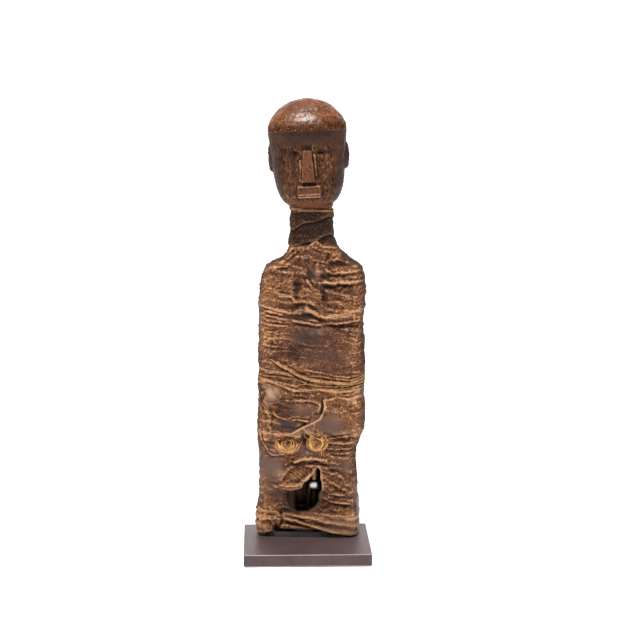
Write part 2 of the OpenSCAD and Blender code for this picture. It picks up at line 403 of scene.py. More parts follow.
def hide_finish(name, mid, shade_and_dark_tone, ridge_highlight, gold, greased, painted_sheen, rough=0.68, gloss=0.42):
    """Dried hide: painted shade in its creases and pits, painted highlights and glints on its ridges, greased where
    it is smooth, with painted highlights on the greased patches.
    """
    f = Finish(name, specular_ior_level=0.12, coat_roughness=0.38)
    relief, golden = f.stored("relief"), f.stored("gold")
    dark_and_shade, smooth = f.stored("dark_and_shade"), f.stored("smooth")
    blotch, worn = f.grain(9, 3), f.grain(4.2, 3)
    fine = f.grain(1.35, 4, (1, 1, 1.25), 0.7)
    specks = f.grain(0.75, 2)
    grit = fine.step(0.38, 0.62) * 2 - 1
    # lift mixes the relief, which paints shade into the creases and highlights onto the ridges, with grit and
    # random tone
    lift = (relief * 0.78 + grit * 0.55 * (1 - smooth * 0.8) + (blotch - 0.5) * 0.9
            + (worn - 0.5) * 0.6)
    body = f.mix(lift.step(-0.95, 0.35), shade_and_dark_tone, mid)
    body = f.mix(golden * (lift * 0.55 + 0.5).clamp(), body, gold)
    greasy = f.mix((fine * 0.6 + blotch * 0.6).step(0.35, 0.85), greased,
                   tuple(min(1, c * 1.75) for c in greased))
    # painted sheen on the smooth greased patches where they are golden
    greasy = f.mix(golden * (fine * 0.8 + 0.4).clamp(), greasy, painted_sheen)
    body = f.mix(smooth * 0.85, body, greasy)
    # painted highlight on the crests of the relief
    crest_highlight = lift.step(0.35, 1.35) * (1 - dark_and_shade * 0.7) * (1 - smooth * 0.5)
    body = f.mix(crest_highlight, body, ridge_highlight)
    # painted glints: small specks in the ridge highlight colour
    bright = specks.step(0.6, 0.72) * (golden * 0.8 + 0.25) * (1 - dark_and_shade) * (1 - smooth * 0.7)
    body = f.mix(bright * 0.7, body, ridge_highlight)
    # painted shade in small pits
    pit_shade = (1 - specks.step(0.3, 0.42)) * (1 - smooth * 0.7) * 0.75
    body = f.mix(pit_shade, body, shade_and_dark_tone)
    # darker patches and painted shade, from the stored share of both
    body = f.mix((dark_and_shade * 0.88).clamp(), body, tuple(c * 0.9 for c in shade_and_dark_tone))
    shine = rough - smooth * (rough - gloss) + (fine - 0.5) * 0.3
    height = fine * (1 - smooth * 0.8) + specks * 0.4 * (1 - smooth * 0.8)
    return f.finish(body, shine.clamp(), height, 0.62, smooth * 0.45)


def wood_finish():
    """Carved wood: reddish and rubbed bright on the dome, deep brown and tool-marked on the face, with painted
    shade in its hollows and dents, under the dome's ledge and down the face's sides, and painted highlights on its
    raised edges and lips.
    """
    f = Finish("carved_wood", specular_ior_level=0.12, coat_roughness=0.36)
    relief, dome = f.stored("relief"), f.stored("dome")
    rim, brow, red = f.stored("rim"), f.stored("brow"), f.stored("mouth")
    inner, rubbed, golden = f.stored("inner"), f.stored("polish"), f.stored("gold")
    fine, blotch = f.grain(1.3, 5), f.grain(8, 4)
    fibre = f.grain(1.4, 4, (1, 1, 0.45), 0.7)
    grit = fibre.step(0.38, 0.62) * 2 - 1
    # lift mixes the relief, which paints shade into the face's recesses and highlights onto its edges, with grain,
    # blotches and golden patches
    lift = (relief * 0.65 + grit * 0.55 * (1 - brow * 0.8) + (blotch - 0.5) * 2.2
            + golden * 0.4 - 0.22)
    face = f.mix(lift.step(-0.75, 0.6), (0.01, 0.005, 0.003), (0.13, 0.05, 0.02))
    # painted highlight on the face's raised edges
    face = f.mix(lift.step(0.4, 1.5), face, (0.5, 0.25, 0.12))
    crown = f.mix((fine * 0.6 + blotch * 0.6).step(0.4, 0.85), (0.065, 0.021, 0.01),
                  (0.29, 0.105, 0.046))
    flecks = (f.grain(2.0, 4) - 0.52).step(0.0, 0.1) * (0.75 - rubbed * 0.55)
    crown = f.mix(flecks, crown, (0.46, 0.2, 0.075))
    # painted shade in the crown's dents
    crown = f.mix((relief * 0.8).step(-0.6, -0.1), (0.04, 0.015, 0.008), crown)
    colour = f.mix(dome, face, crown)
    ember = f.mix((fine + blotch * 0.4).step(0.5, 0.95), (0.007, 0.002, 0.001),
                  (0.105, 0.025, 0.005))
    ember = f.mix(f.grain(1.0, 3).step(0.62, 0.7), ember, (0.62, 0.28, 0.07))
    colour = f.mix(rim, colour, ember)
    # painted shade on the forehead under the dome's ledge and down the sides of the face
    colour = f.mix(brow * 0.92, colour, f.mix(blotch, (0.026, 0.01, 0.007), (0.06, 0.026, 0.017)))
    colour = f.mix(red, colour, f.mix(fine.step(0.25, 0.75), (0.07, 0.024, 0.013),
                                      (0.22, 0.08, 0.04)))
    # painted highlights along the edges of the lips
    colour = f.mix(f.stored("pale") * 0.7, colour, (0.46, 0.25, 0.17))
    # painted shade inside: eye sockets, the slot under the nose, the neck under the chin and the trunk seen through
    # the tear
    colour = f.mix(inner * 0.9, colour, (0.014, 0.007, 0.005))
    shine = 0.5 - dome * 0.17 - brow * 0.05 + (fine - 0.5) * 0.25 + rim * 0.2 + inner * 0.3
    height = fibre * (1 - dome * 0.9) * (1 - brow * 0.7) + fine * 0.3
    polish = rubbed * 0.8 + dome * 0.06 + brow * 0.1
    return f.finish(colour, shine.clamp(), height, 0.5, polish.clamp())


def cord_finish():
    f = Finish("rawhide_cord", specular_ior_level=0.12)
    relief, fine = f.stored("relief"), f.grain(1.1, 4, (1, 1, 1), 0.7)
    # lift mixes the plies' relief, which paints shade between them and highlights on them, with random tone
    lift = (relief * 0.5 + (fine.step(0.38, 0.62) - 0.5) * 0.9 + (f.grain(8, 3) - 0.5) * 1.5
            + 0.2)
    colour = f.mix(lift.step(-0.9, 0.35), (0.016, 0.007, 0.004), (0.22, 0.092, 0.038))
    # painted highlight on the plies' crests
    colour = f.mix(lift.step(0.3, 1.25), colour, (0.62, 0.34, 0.16))
    return f.finish(colour, (0.62 + (fine - 0.5) * 0.3).clamp(), fine, 0.4)


def fibre_finish():
    f = Finish("frayed_fibre", specular_ior_level=0.1)
    relief, fine, tone_and_light = f.stored("relief"), f.grain(0.9, 4), f.stored("tone_and_light")
    # lift mixes the relief and random tone with each fibre's stored share of painted light: shade on the lump,
    # highlights on the lower rim
    lift = (relief * 0.3 + (fine.step(0.35, 0.65) - 0.5) * 0.7 + (f.grain(5, 3) - 0.5) * 1.5
            + tone_and_light)
    colour = f.mix(lift.step(-0.6, 0.5), (0.02, 0.009, 0.004), (0.29, 0.115, 0.04))
    # painted highlight on the fibres' crests
    colour = f.mix(lift.step(0.35, 1.3), colour, (0.8, 0.45, 0.19))
    return f.finish(colour, (0.75 + (fine - 0.5) * 0.3).clamp(), fine, 0.35)


def patina_finish():
    """Dark satin metal of the base block, with painted light on its top faces and painted highlights along its
    bevelled edges, broken up by fine noise.
    """
    f = Finish("dark_patina", metallic=0.2, specular_ior_level=0.35)
    cloud, fine, edge = f.grain(22, 4), f.grain(0.6, 3), f.stored("edge")
    colour = f.mix(cloud.step(0.3, 0.75), (0.056, 0.034, 0.035), (0.094, 0.06, 0.062))
    # painted light: the top faces are made lighter than the sides
    colour = f.mix(f.stored("top") * 0.25, colour, (0.22, 0.15, 0.15))
    specks = (1 - f.dots(9).step(0.03, 0.06)) * f.grain(30).step(0.5, 0.6)
    colour = f.mix(specks * 0.6, colour, (0.3, 0.26, 0.25))
    # painted highlight along the bevelled edges, broken up by fine noise
    colour = f.mix(edge * (fine * 1.6).clamp(), colour, (0.62, 0.5, 0.48))
    shine = 0.42 + (cloud - 0.5) * 0.3 + (fine - 0.5) * 0.12
    return f.finish(colour, shine.clamp(), fine, 0.04)


def steel_finish(name, low, high, dull=0.22):
    f = Finish(name, metallic=1.0)
    lines, cloud = f.grain(0.5, 2, (0.2, 0.2, 3)), f.grain(14, 3)
    colour = f.mix(cloud.step(0.3, 0.8), low, high)
    return f.finish(colour, (dull + lines * 0.16 + (cloud - 0.5) * 0.2).clamp(), lines, 0.02)


def plate_finish():
    f = Finish("shaded_ground_plate", metallic=0.85)
    lines, cloud = f.grain(0.4, 2, (0.1, 3, 3)), f.grain(10, 3)
    # painted shade: the plate's colour is darkened to stand for the shade under the hem
    colour = f.mix(cloud.step(0.3, 0.8), (0.1, 0.085, 0.088), (0.2, 0.175, 0.18))
    return f.finish(colour, (0.42 + lines * 0.2).clamp(), lines, 0.03)


def brass_finish():
    f = Finish("shaded_drawn_brass", metallic=1.0)
    cloud, lines = f.grain(6, 4), f.grain(0.5, 2, (3, 3, 0.2))
    # painted shade: the brass is coloured far darker than brass, for the shade inside the tear
    colour = f.mix(cloud.step(0.3, 0.7), (0.1, 0.05, 0.02), (0.26, 0.15, 0.06))
    return f.finish(colour, (0.36 + (cloud - 0.5) * 0.3).clamp(), lines, 0.02)


def felt_finish():
    f = Finish("pressed_felt", sheen_weight=0.3, specular_ior_level=0.2)
    fuzz, cloud = f.grain(0.45, 5), f.grain(12, 3)
    colour = f.mix((fuzz * 0.7 + cloud * 0.3), (0.02, 0.02, 0.022), (0.07, 0.07, 0.075))
    return f.finish(colour, (0.9 + (fuzz - 0.5) * 0.1).clamp(), fuzz, 0.25)


DRY_HIDE = hide_finish("dry_hide", mid=(0.145, 0.057, 0.027), shade_and_dark_tone=(0.009, 0.004, 0.003),
                       ridge_highlight=(0.62, 0.34, 0.185), gold=(0.3, 0.13, 0.046),
                       greased=(0.078, 0.038, 0.028), painted_sheen=(0.5, 0.29, 0.21))
# The neck's hide is coloured far darker than the body's: partly the strip's own darker tone, partly painted shadow
# from the chin above it.
SHADED_NECK_HIDE = hide_finish("shaded_neck_hide", mid=(0.028, 0.012, 0.006), shade_and_dark_tone=(0.003, 0.0015, 0.001),
                        ridge_highlight=(0.19, 0.085, 0.036), gold=(0.5, 0.25, 0.14),
                        greased=(0.035, 0.02, 0.016), painted_sheen=(0.2, 0.11, 0.08))
FLAP_HIDE = hide_finish("flap_hide", mid=(0.15, 0.06, 0.029), shade_and_dark_tone=(0.01, 0.005, 0.003),
                        ridge_highlight=(0.62, 0.34, 0.18), gold=(0.27, 0.115, 0.042),
                        greased=(0.058, 0.028, 0.02), painted_sheen=(0.24, 0.12, 0.08))
WOOD = wood_finish()
CORD = cord_finish()
FIBRE = fibre_finish()
PATINA = patina_finish()
STEEL = steel_finish("turned_steel", (0.34, 0.32, 0.3), (0.6, 0.59, 0.57))
# painted shade: the rod's metal colour is near black, darker than blued steel, so that it shows no reflections
# inside the tear
SHADED_DARK_STEEL = steel_finish("shaded_blued_steel", (0.006, 0.005, 0.004), (0.02, 0.016, 0.014), 0.45)
SHADED_PLATE = plate_finish()
SHADED_BRASS = brass_finish()
FELT = felt_finish()


# --- the wrapped body's surface ------------------------------------------------------------------
# q is the distance round the body in mm: 0 at the front's middle, positive to the right, and
# +-HALF_ROUND at the seam down the back.

CORNER = 9.0
FLAT_X = HALF_W + WRAP - CORNER
FLAT_Y = HALF_D + WRAP - CORNER
ARC = CORNER * math.pi / 2
HALF_ROUND = 2 * FLAT_X + 2 * ARC + 2 * FLAT_Y

# height, left edge and right edge of the wrapped body seen from the front
SIDES = [(-2, -43.6, 36.6), (3, -44, 37), (16, -43.8, 37), (23, -43.4, 36.8),
         (31, -42.2, 36.6), (47, -41.6, 36.6), (54, -41.8, 35.8), (66, -42, 34.5),
         (73, -42.6, 35), (80, -43.2, 38.8), (89, -42.8, 42), (103, -42.6, 42.2),
         (120, -42.6, 41.6), (130, -42.2, 41.2), (155, -41.8, 40.6), (184, -42, 41.6),
         (190, -41.6, 41.5), (200, -40.8, 41.8), (208, -39.6, 41.4), (215, -38.2, 40),
         (218.4, -35.4, 37.8), (221, -28.8, 34.4), (223.4, -23.6, 30.4), (226.8, -21, 26),
         (230.8, -19.2, 21.8), (234.8, -18, 19), (242, -17.4, 16.3), (250, -16.5, 16.2),
         (275, -16.5, 16.2)]
# height and half of the depth
DEPTHS = [(-2, 17), (16, 17), (23, 15.6), (195, 15.6), (212, 15.2), (222, 14.2), (234, 13.8),
          (275, 14.1)]

TABLE_Z = np.arange(-6, 272, 0.25)
SOFTEN = np.hanning(17) / np.hanning(17).sum()


def along_height(pairs):
    heights, values = np.array(pairs, float).T
    wide = np.interp(np.arange(-8, 274, 0.25), heights, values)
    return np.convolve(wide, SOFTEN, "same")[8:8 + len(TABLE_Z)]


LEFT_OF = along_height([(z, left) for z, left, right in SIDES])
RIGHT_OF = along_height([(z, right) for z, left, right in SIDES])
DEEP_OF = along_height(DEPTHS) / (HALF_D + WRAP)
MIDDLE_OF = (LEFT_OF + RIGHT_OF) / 2
WIDE_OF = (RIGHT_OF - LEFT_OF) / 2 / (HALF_W + WRAP)


def look_up(z, values):
    return np.interp(z, TABLE_Z, values), np.interp(z, TABLE_Z, np.gradient(values, TABLE_Z))


def body_surface(q, z):
    """Points on the wrapped body and the directions out of it."""
    a = np.abs(q)
    sign = np.where(q < 0, -1.0, 1.0)
    first = np.clip((a - FLAT_X) / CORNER, 0, math.pi / 2)
    second = np.clip((a - FLAT_X - ARC - 2 * FLAT_Y) / CORNER, 0, math.pi / 2)
    past = np.maximum(a - FLAT_X - 2 * ARC - 2 * FLAT_Y, 0)
    x = np.minimum(a, FLAT_X) + CORNER * (np.sin(first) + np.cos(second) - 1) - past
    y = (-FLAT_Y - CORNER * np.cos(first) + CORNER * np.sin(second)
         + np.clip(a - FLAT_X - ARC, 0, 2 * FLAT_Y))
    turn = first + second
    x, dx, dy = x * sign, np.cos(turn), np.sin(turn) * sign
    middle, middle_slope = look_up(z, MIDDLE_OF)
    wide, wide_slope = look_up(z, WIDE_OF)
    deep, deep_slope = look_up(z, DEEP_OF)
    point = np.stack([middle + x * wide, y * deep, z], axis=-1)
    out = np.stack([dy * deep, -dx * wide,
                    dx * wide * y * deep_slope - dy * deep * (middle_slope + x * wide_slope)],
                   axis=-1)
    return point, out / np.linalg.norm(out, axis=-1)[..., None]


def across_of(q, z):
    """x that a distance round the body would have if the front were rolled out flat."""
    return look_up(z, MIDDLE_OF)[0] + q * look_up(z, WIDE_OF)[0]


def round_of(x, z):
    return (x - look_up(z, MIDDLE_OF)[0]) / look_up(z, WIDE_OF)[0]


# --- the hide's folds and patches ----------------------------------------------------------------
# Each fold: its line (x, z) from left to right, height of its ridge, width, and how far the hide
# above it laps over the hide below.

FOLDS = [
    # pleats from the shoulders up to the neck
    ([(-13.7, 233.3), (-20, 227.6), (-27.7, 222.1)], 1.3, 1.0, 0),
    ([(-11, 231.3), (-18, 225.2), (-25.6, 219.9)], 1.1, 0.9, 0),
    ([(-9.5, 227.7), (-14, 223), (-19.4, 219.3)], 1.2, 1.4, 0),
    ([(-17.9, 231.9), (-25, 226), (-34, 219.4)], 1.0, 0.9, 0),
    ([(-35, 218.6), (-26, 217.8), (-17, 218.6)], 0.7, 1.0, 0.7),
    ([(13, 232), (20, 226), (28, 221.5), (35, 218.5)], 0.8, 1.1, 0),
    ([(5, 222), (4.6, 218.5), (5.2, 213.8)], 1.2, 1.3, 0),
    ([(9.3, 218.7), (13, 214.6), (17.1, 213.1), (27, 213.6), (38, 215), (50, 214)], 1.0, 1.0, 0.8),
    ([(7.3, 206.9), (12, 205.6), (19.8, 205.5), (30, 206), (38, 207.3), (52, 208)], 1.5, 1.1, 1.0),
    ([(-4, 209), (-1.5, 205), (0.9, 201.7), (5, 199.5)], 0.9, 1.0, 0),
    ([(-16, 195.3), (-13.6, 192), (-11, 189.8), (-7, 188.2)], 0.9, 0.9, 0),
    # folds over the chest
    ([(-52, 189.5), (-38.4, 187.3), (-29, 184.6), (-20.8, 183.1), (-16.6, 180.4)], 1.0, 0.8, 0.5),
    ([(-50, 186.2), (-38.4, 184.4), (-28, 181), (-20.1, 179.2)], 0.8, 0.7, 0.4),
    ([(-48, 182), (-38, 180.6), (-27, 178), (-17, 175.8)], 0.7, 0.7, 0),
    ([(-50, 178.6), (-36, 176.6), (-24, 174.4), (-15, 173.6)], 0.6, 0.7, 0.3),
    ([(-50, 174), (-37.7, 173.1), (-27, 171.6), (-16.6, 171.5)], 0.8, 0.8, 0.4),
    ([(-6, 187.2), (-2, 184.4), (2.4, 181.9), (6.4, 179.6), (11.5, 178.6)], 1.6, 1.4, 0.9),
    ([(-17, 177), (-9, 174.5), (-2.5, 173.3), (3, 172.4), (8.4, 172.6)], 1.3, 0.9, 0.6),
    ([(10.8, 173.6), (20, 173.2), (30, 175), (39.5, 176), (52, 175)], 1.0, 0.8, 0.6),
    ([(12, 186), (20, 183.8), (30, 183.6), (40, 185)], 0.6, 0.9, 0),
    ([(-41, 168), (-33, 166.6), (-24, 167.2)], 0.5, 0.7, 0),
    ([(-41, 163), (-31, 161.3), (-22, 161.5)], 0.6, 0.7, 0),
    ([(-40, 157.5), (-31, 155), (-20, 154)], 0.7, 0.8, 0),
    ([(-8, 158.4), (-3.6, 156.4), (1.5, 155.4), (4, 156)], 0.8, 0.8, 0),
    ([(3.4, 166.6), (8, 166.9)], 0.6, 1.5, 0),
    # drawn waist
    ([(-31.5, 144.6), (-24, 140), (-16.7, 136.4), (-11, 132.6), (-6.8, 130.4), (0, 128.4),
      (7.4, 127.3), (20, 125.7), (31.3, 125.5), (41.2, 129)], 1.3, 1.1, 0.7),
    ([(-8, 136.6), (4.5, 134.6), (14, 132.6), (21.4, 131), (30.5, 130.5), (40.5, 132.6)],
     0.8, 0.7, 0),
    ([(-3, 133), (8, 131), (18, 129), (29, 128), (40, 130)], 0.7, 0.6, 0),
    ([(-41, 137), (-32, 134.4), (-22, 133.2), (-12, 130.4)], 0.8, 0.9, 0),
    ([(-40, 130.3), (-33, 127.4), (-26.6, 124.9), (-16.7, 121.3), (-8.2, 118.6)], 1.0, 0.8, 0.6),
    ([(3, 121.7), (14.4, 119.8), (25, 119.5), (36, 121)], 0.9, 0.9, 0),
    ([(-44, 124), (-40.4, 118), (-39.2, 110), (-38.5, 105)], 0.8, 0.7, 0),
    # below the waist
    ([(-24, 112), (-17, 110.6), (-9, 111.4), (0, 111.8), (8, 109.6)], 0.8, 1.0, 0),
    ([(-30, 101), (-25, 97.6), (-21, 96.6), (-18.5, 94.8)], 0.9, 0.8, 0),
    ([(-16, 94.8), (-11, 95.8), (-6, 94.6), (-1, 94.2)], 0.7, 0.9, 0.6),
    ([(-36, 104), (-33, 98), (-34.5, 91), (-31, 86.4)], 0.9, 1.2, 0),
    ([(-34, 86.4), (-28, 86.9), (-21, 84)], 0.6, 0.6, 0),
    # skirt
    ([(-42.3, 85.7), (-40, 80), (-37.6, 75.4), (-33, 69), (-29, 66.6)], 1.1, 0.7, 0.5),
    ([(-42.4, 80), (-39.6, 74.4), (-36, 70)], 0.8, 0.6, 0),
    ([(-37, 66.5), (-29, 67.2), (-20, 68.6)], 0.6, 0.8, 0.5),
    ([(11.6, 78.2), (18, 76.8), (26, 77), (34, 78.4)], 1.2, 0.8, 0.6),
    ([(11, 73), (18, 72), (27, 72.6), (35, 73)], 0.7, 0.6, 0.3),
    ([(12, 69), (22, 68.4), (33, 69.4)], 0.6, 0.7, 0),
    ([(-15.5, 60.6), (-10, 63), (-5.9, 64.3), (3.5, 64.6), (9, 63.6), (14.6, 61.8)], 1.9, 1.5, 1.2),
    ([(-9, 67.6), (0, 68.6), (9, 67.4), (16, 64.8)], 0.8, 1.0, 0),
    ([(-27.5, 43), (-22, 42), (-16.8, 41.8), (-11, 42.6), (-7.5, 44)], 1.5, 1.1, 0),
    ([(-33, 43.6), (-24, 39.8), (-16, 39.4), (-9, 40.4)], 0.8, 0.9, 0),
    ([(7.4, 33.9), (14.5, 29.9), (24, 28.2), (34.5, 26.7)], 1.0, 0.9, 1.0),
    ([(10, 47), (17, 44.6), (25, 40.4), (33, 37)], 0.7, 1.1, 0),
    ([(9, 39), (16, 36), (24, 35), (34, 36)], 0.6, 1.0, 0),
    ([(12, 53.6), (20, 51.8), (27, 47.6)], 0.6, 1.2, 0),
    # rolled hem
    ([(-41.3, 22.4), (-35, 20.4), (-29.4, 20.2), (-21.6, 17)], 1.2, 1.0, 0),
    ([(-24, 19.6), (-14, 18), (-1.2, 15.6), (12, 13), (23.9, 10.9), (34, 9.4)], 1.3, 1.5, 0.6),
    ([(-22, 15.6), (-12, 13.4), (-1.2, 10.4), (8, 7.2), (16, 4.6), (26, 3)], 1.8, 1.2, 0.9),
    ([(-8, 20.6), (4, 19.4), (16, 17.6), (30, 17.4)], 0.8, 1.0, 0.3),
    ([(-34, 18), (-31, 12), (-27, 9)], 0.7, 0.8, 0),
    ([(-42, 14), (-35, 12.4), (-28, 12.6)], 0.6, 0.8, 0),
]

# Grooves: line, depth, width
GROOVES = [
    ([(-11.8, 205), (-12.4, 200), (-10.8, 194.6)], 1.4, 2.4),
    ([(-6, 181), (2, 178), (11, 175.6)], 1.0, 1.2),
    ([(10.2, 201.8), (20, 202.4), (29, 204)], 1.0, 1.3),
    ([(9, 211.6), (13, 210.4)], 1.2, 2.0),
    ([(9, 198.6), (9.8, 191)], 1.0, 1.6),
    ([(13, 225), (17, 221.6), (24, 219.4), (31, 218.8)], 1.0, 2.2),
    ([(10, 171.4), (24, 170.6), (38, 171.6)], 0.8, 1.0),
    ([(-42, 121.6), (-40.2, 114), (-38.6, 105)], 1.6, 1.1),
    ([(9, 112), (9.6, 107), (8, 101.4)], 1.5, 1.2),
    ([(-22, 90), (-14, 88.6), (-5, 91.5)], 1.2, 1.6),
    ([(10.5, 84.4), (18, 83), (26, 84.2), (38, 86.4)], 1.6, 1.4),
    ([(-5, 85), (-3.6, 78), (-3.4, 72)], 1.4, 2.6),
    ([(10, 80.6), (20, 80.2), (33, 82)], 0.9, 1.0),
    ([(-40, 88), (-38.6, 78)], 0.8, 1.0),
    ([(-36, 68.6), (-30, 65)], 0.9, 0.8),
    ([(-24, 20.4), (-23, 14), (-25.4, 9)], 1.4, 1.3),
    ([(35.6, 27), (36.2, 16), (36.8, 4)], 1.4, 0.9),
    ([(-20, 12), (-8, 9.4), (4, 6)], 1.0, 0.9),
]

# Patches: centre, radii, strength
GOLDEN = [((-31, 118), (6.6, 7), 1.0), ((-29, 199), (13, 12), 0.9), ((-3, 196), (10, 8), 0.7),
          ((-22, 224), (9, 6), 0.8), ((17, 230), (8, 7), 0.7), ((26, 213), (15, 5), 0.6),
          ((6, 217), (5, 4), 0.7), ((26, 206), (16, 3), 0.9), ((6, 181), (8, 3.4), 1.0), ((30, 184), (11, 9), 0.75),
          ((-30, 180), (13, 11), 0.65), ((-31, 163), (11, 9), 1.0), ((5, 166.6), (4, 2.2), 1.0),
          ((-16, 137), (20, 6), 0.75), ((12, 128), (30, 5), 1.0), ((-22, 124), (17, 4), 0.8),
          ((24, 120), (16, 3.4), 0.8), ((24, 104), (13, 13), 0.85), ((32, 94), (6, 8), 0.9),
          ((-33, 97), (5, 10), 0.75), ((3, 88), (5, 6), 0.8), ((2, 65), (16, 3.4), 0.9),
          ((-20, 49), (8, 8), 0.95), ((-8, 53), (7, 5), 0.75), ((-20, 41.6), (12, 2.4), 0.9),
          ((20, 76), (14, 3), 0.5), ((-33, 19), (9, 7), 1.0), ((0, 12), (26, 6), 0.55),
          ((27, 21), (10, 4), 0.8), ((18, 45), (11, 8), 0.45), ((-27, 84), (5, 2.4), 0.6),
          ((33, 154), (8, 12), 0.5), ((-8, 109.6), (10, 3), 0.5)]
# Darker patches, most of them along grooves and hollows, where they are painted shade
DARK_AND_SHADE = [((13, 226), (4, 3), 0.9), ((22, 220.6), (8, 2.6), 0.8), ((-2, 213), (4.5, 4.5), 0.9),
        ((11, 212), (5, 3), 0.9), ((-11.6, 202), (3.4, 6), 0.9), ((10, 196), (2.6, 7), 0.8),
        ((21, 201.6), (11, 2), 0.7), ((-3, 178.4), (11, 2.6), 0.9), ((-1, 163), (15, 8), 0.75),
        ((-11, 186), (4, 3), 0.9), ((25, 170.6), (14, 1.8), 0.7), ((-13, 152), (8, 8), 0.6),
        ((3, 148), (10, 8), 0.35), ((-1, 124), (7, 3.4), 0.5), ((-20, 103), (8, 6), 0.5),
        ((-19, 91), (7, 3.4), 0.9), ((-3, 80), (3.6, 6), 0.9), ((24, 81), (13, 2), 0.7),
        ((-40.5, 114), (1.4, 9), 0.9), ((10.4, 106), (1.6, 6), 0.9), ((19, 149), (9, 9), 0.3),
        ((-6, 28), (12, 9), 0.7), ((14, 31), (9, 2), 0.6), ((-23, 11), (3, 3), 0.9),
        ((20, 38), (10, 2), 0.4), ((-30, 35), (7, 2), 0.5), ((-14, 59.6), (10, 1.6), 0.7)]
SMOOTH = [((-32, 118), (6.4, 7), 1.0), ((16, 92.6), (11, 6.6), 1.0), ((-6, 103.6), (11, 4), 0.8),
          ((-2, 163), (15, 8), 0.6), ((-19, 91), (7, 4), 0.8), ((-33, 58), (10, 13), 1.0),
          ((28, 59), (9, 6), 0.7), ((-2, 73), (14, 5), 0.75), ((-24, 73), (12, 5), 0.5),
          ((2, 213), (5, 6), 0.5), ((-30, 37), (12, 5), 0.5), ((10, 147), (18, 9), 0.3)]


def front_share(q):
    """1 on the front, fading to 0 round the corners."""
    return smooth_step(FLAT_X + 16 - np.abs(q), 0, 15)


def patches(x, z, listed, share):
    total = np.zeros(len(x))
    for centre, radii, strength in listed:
        total = np.maximum(total, strength * blob(x, z, centre, radii))
    return total * share


FOLD_REACH = 7


def close_to(x, z, line):
    """True for points that a fold or groove along the line can reach."""
    line_x, line_z = np.array(line, float).T
    return ((x > line_x.min() - FOLD_REACH) & (x < line_x.max() + FOLD_REACH)
            & (z > line_z.min() - FOLD_REACH) & (z < line_z.max() + FOLD_REACH))


def fold_height(x, z, points):
    """Height of the named folds and grooves at points rolled out flat."""
    wander = noise(points, 5, 61) * 0.55 + noise(points, 1.8, 62) * 0.25
    broken = np.clip(0.78 + 0.45 * noise(points, 7, 63) + 0.25 * noise(points, 2.6, 64), 0.1, 1.3)
    total = np.zeros(len(x))
    for line, height, width, lap in FOLDS:
        near = close_to(x, z, line)
        if not near.any():
            continue
        d, share, side = distance_to_line(x[near], z[near] + wander[near], line)
        taper = smooth_step(share, 0, 0.12) * smooth_step(1 - share, 0, 0.12)
        above = side * d < 0
        rise = height * 0.85 * broken[near] * np.exp(-(d / (0.85 * width)) ** 2)
        rise += lap * np.where(above, np.exp(-(d / 4.5) ** 2), np.exp(-(d / 0.5) ** 2))
        rise -= 0.45 * height * np.exp(-((d - 2.1 * width) / width) ** 2)
        total[near] += taper * rise
    for line, depth, width in GROOVES:
        near = close_to(x, z, line)
        if not near.any():
            continue
        d = distance_to_line(x[near], z[near] + wander[near], line)[0]
        total[near] -= depth * np.exp(-(d / width) ** 2)
    return total


def hide_relief(q, z, points):
    """Height of the dried hide over the body in mm, with its golden share, its share of darker patches and painted
    shade, and its smooth share.
    """
    x = across_of(q, z)
    front = front_share(q)
    soft_noise = noise(points, 26, 3)
    ragged_x = x + 3.2 * noise(points, 6, 13) + 1.3 * noise(points, 2, 15)
    ragged_z = z + 2.2 * noise(points, 6, 14) + 0.9 * noise(points, 2, 16)
    gold = np.maximum(patches(ragged_x, ragged_z, GOLDEN, front),
                      (1 - front) * smooth_step(soft_noise, 0.0, 0.5) * 0.8)
    dark_and_shade = np.maximum(patches(ragged_x, ragged_z, DARK_AND_SHADE, front),
                      (1 - front) * smooth_step(-noise(points, 20, 5), 0.2, 0.6) * 0.7)
    smooth = np.maximum(patches(ragged_x, ragged_z, SMOOTH, front),
                        (1 - front) * smooth_step(noise(points, 30, 9), 0.1, 0.5) * 0.7)
    rough = 1 - smooth * 0.85
    slant = points + np.stack([0 * q, 0 * q, 0.16 * x * front + 4 * noise(points, 60, 12)], axis=1)
    waves = layered(points, 30, 2, 20) * 0.5
    wrinkles = (creases(slant, 8, 21, (4.2, 4.2, 1.0)) - 0.35) * 1.05
    small = (creases(slant, 3.4, 24, (4.0, 4.0, 1.0)) - 0.35) * 0.75
    crust = (creases(points, 2.6, 27, (1.6, 1.6, 1.0)) - 0.35) * (0.1 + 0.75 * gold ** 2)
    pebbles = noise(points, 1.25, 29) * (0.3 + 0.2 * gold)
    height = waves + (wrinkles + small + crust + pebbles) * rough
    height += (creases(slant, 17, 33, (3.4, 3.4, 1.0)) - 0.3) * 1.2 * (1 - front)
    height += fold_height(x, z, points) * front
    height *= 1 - 0.35 * np.exp(-((np.abs(q) - FLAT_X - ARC / 2) / 6) ** 2)
    height -= dark_and_shade * 0.5
    # painted shade: the hide is darkened round the body's corners and sides, where the front light falls off
    corner = (smooth_step(np.abs(q), FLAT_X + 5.5, FLAT_X + 12)
              * (1 - 0.4 * smooth_step(np.abs(q), 62, 72)))
    dark_and_shade = np.maximum(dark_and_shade, 0.62 * corner)
    seam = HALF_ROUND - np.abs(q)
    height += 0.9 * np.exp(-((seam - 3.6) / 1.8) ** 2) - 1.6 * np.exp(-(seam / 1.5) ** 2)
    return height, gold, dark_and_shade, smooth


def edge_lip(distance, radius=1.15):
    """How far a sheet's face draws back near its edge, so the edge is round."""
    t = np.clip(distance / radius, 0, 1)
    return radius * (1 - np.sqrt(1 - (1 - t) ** 2))


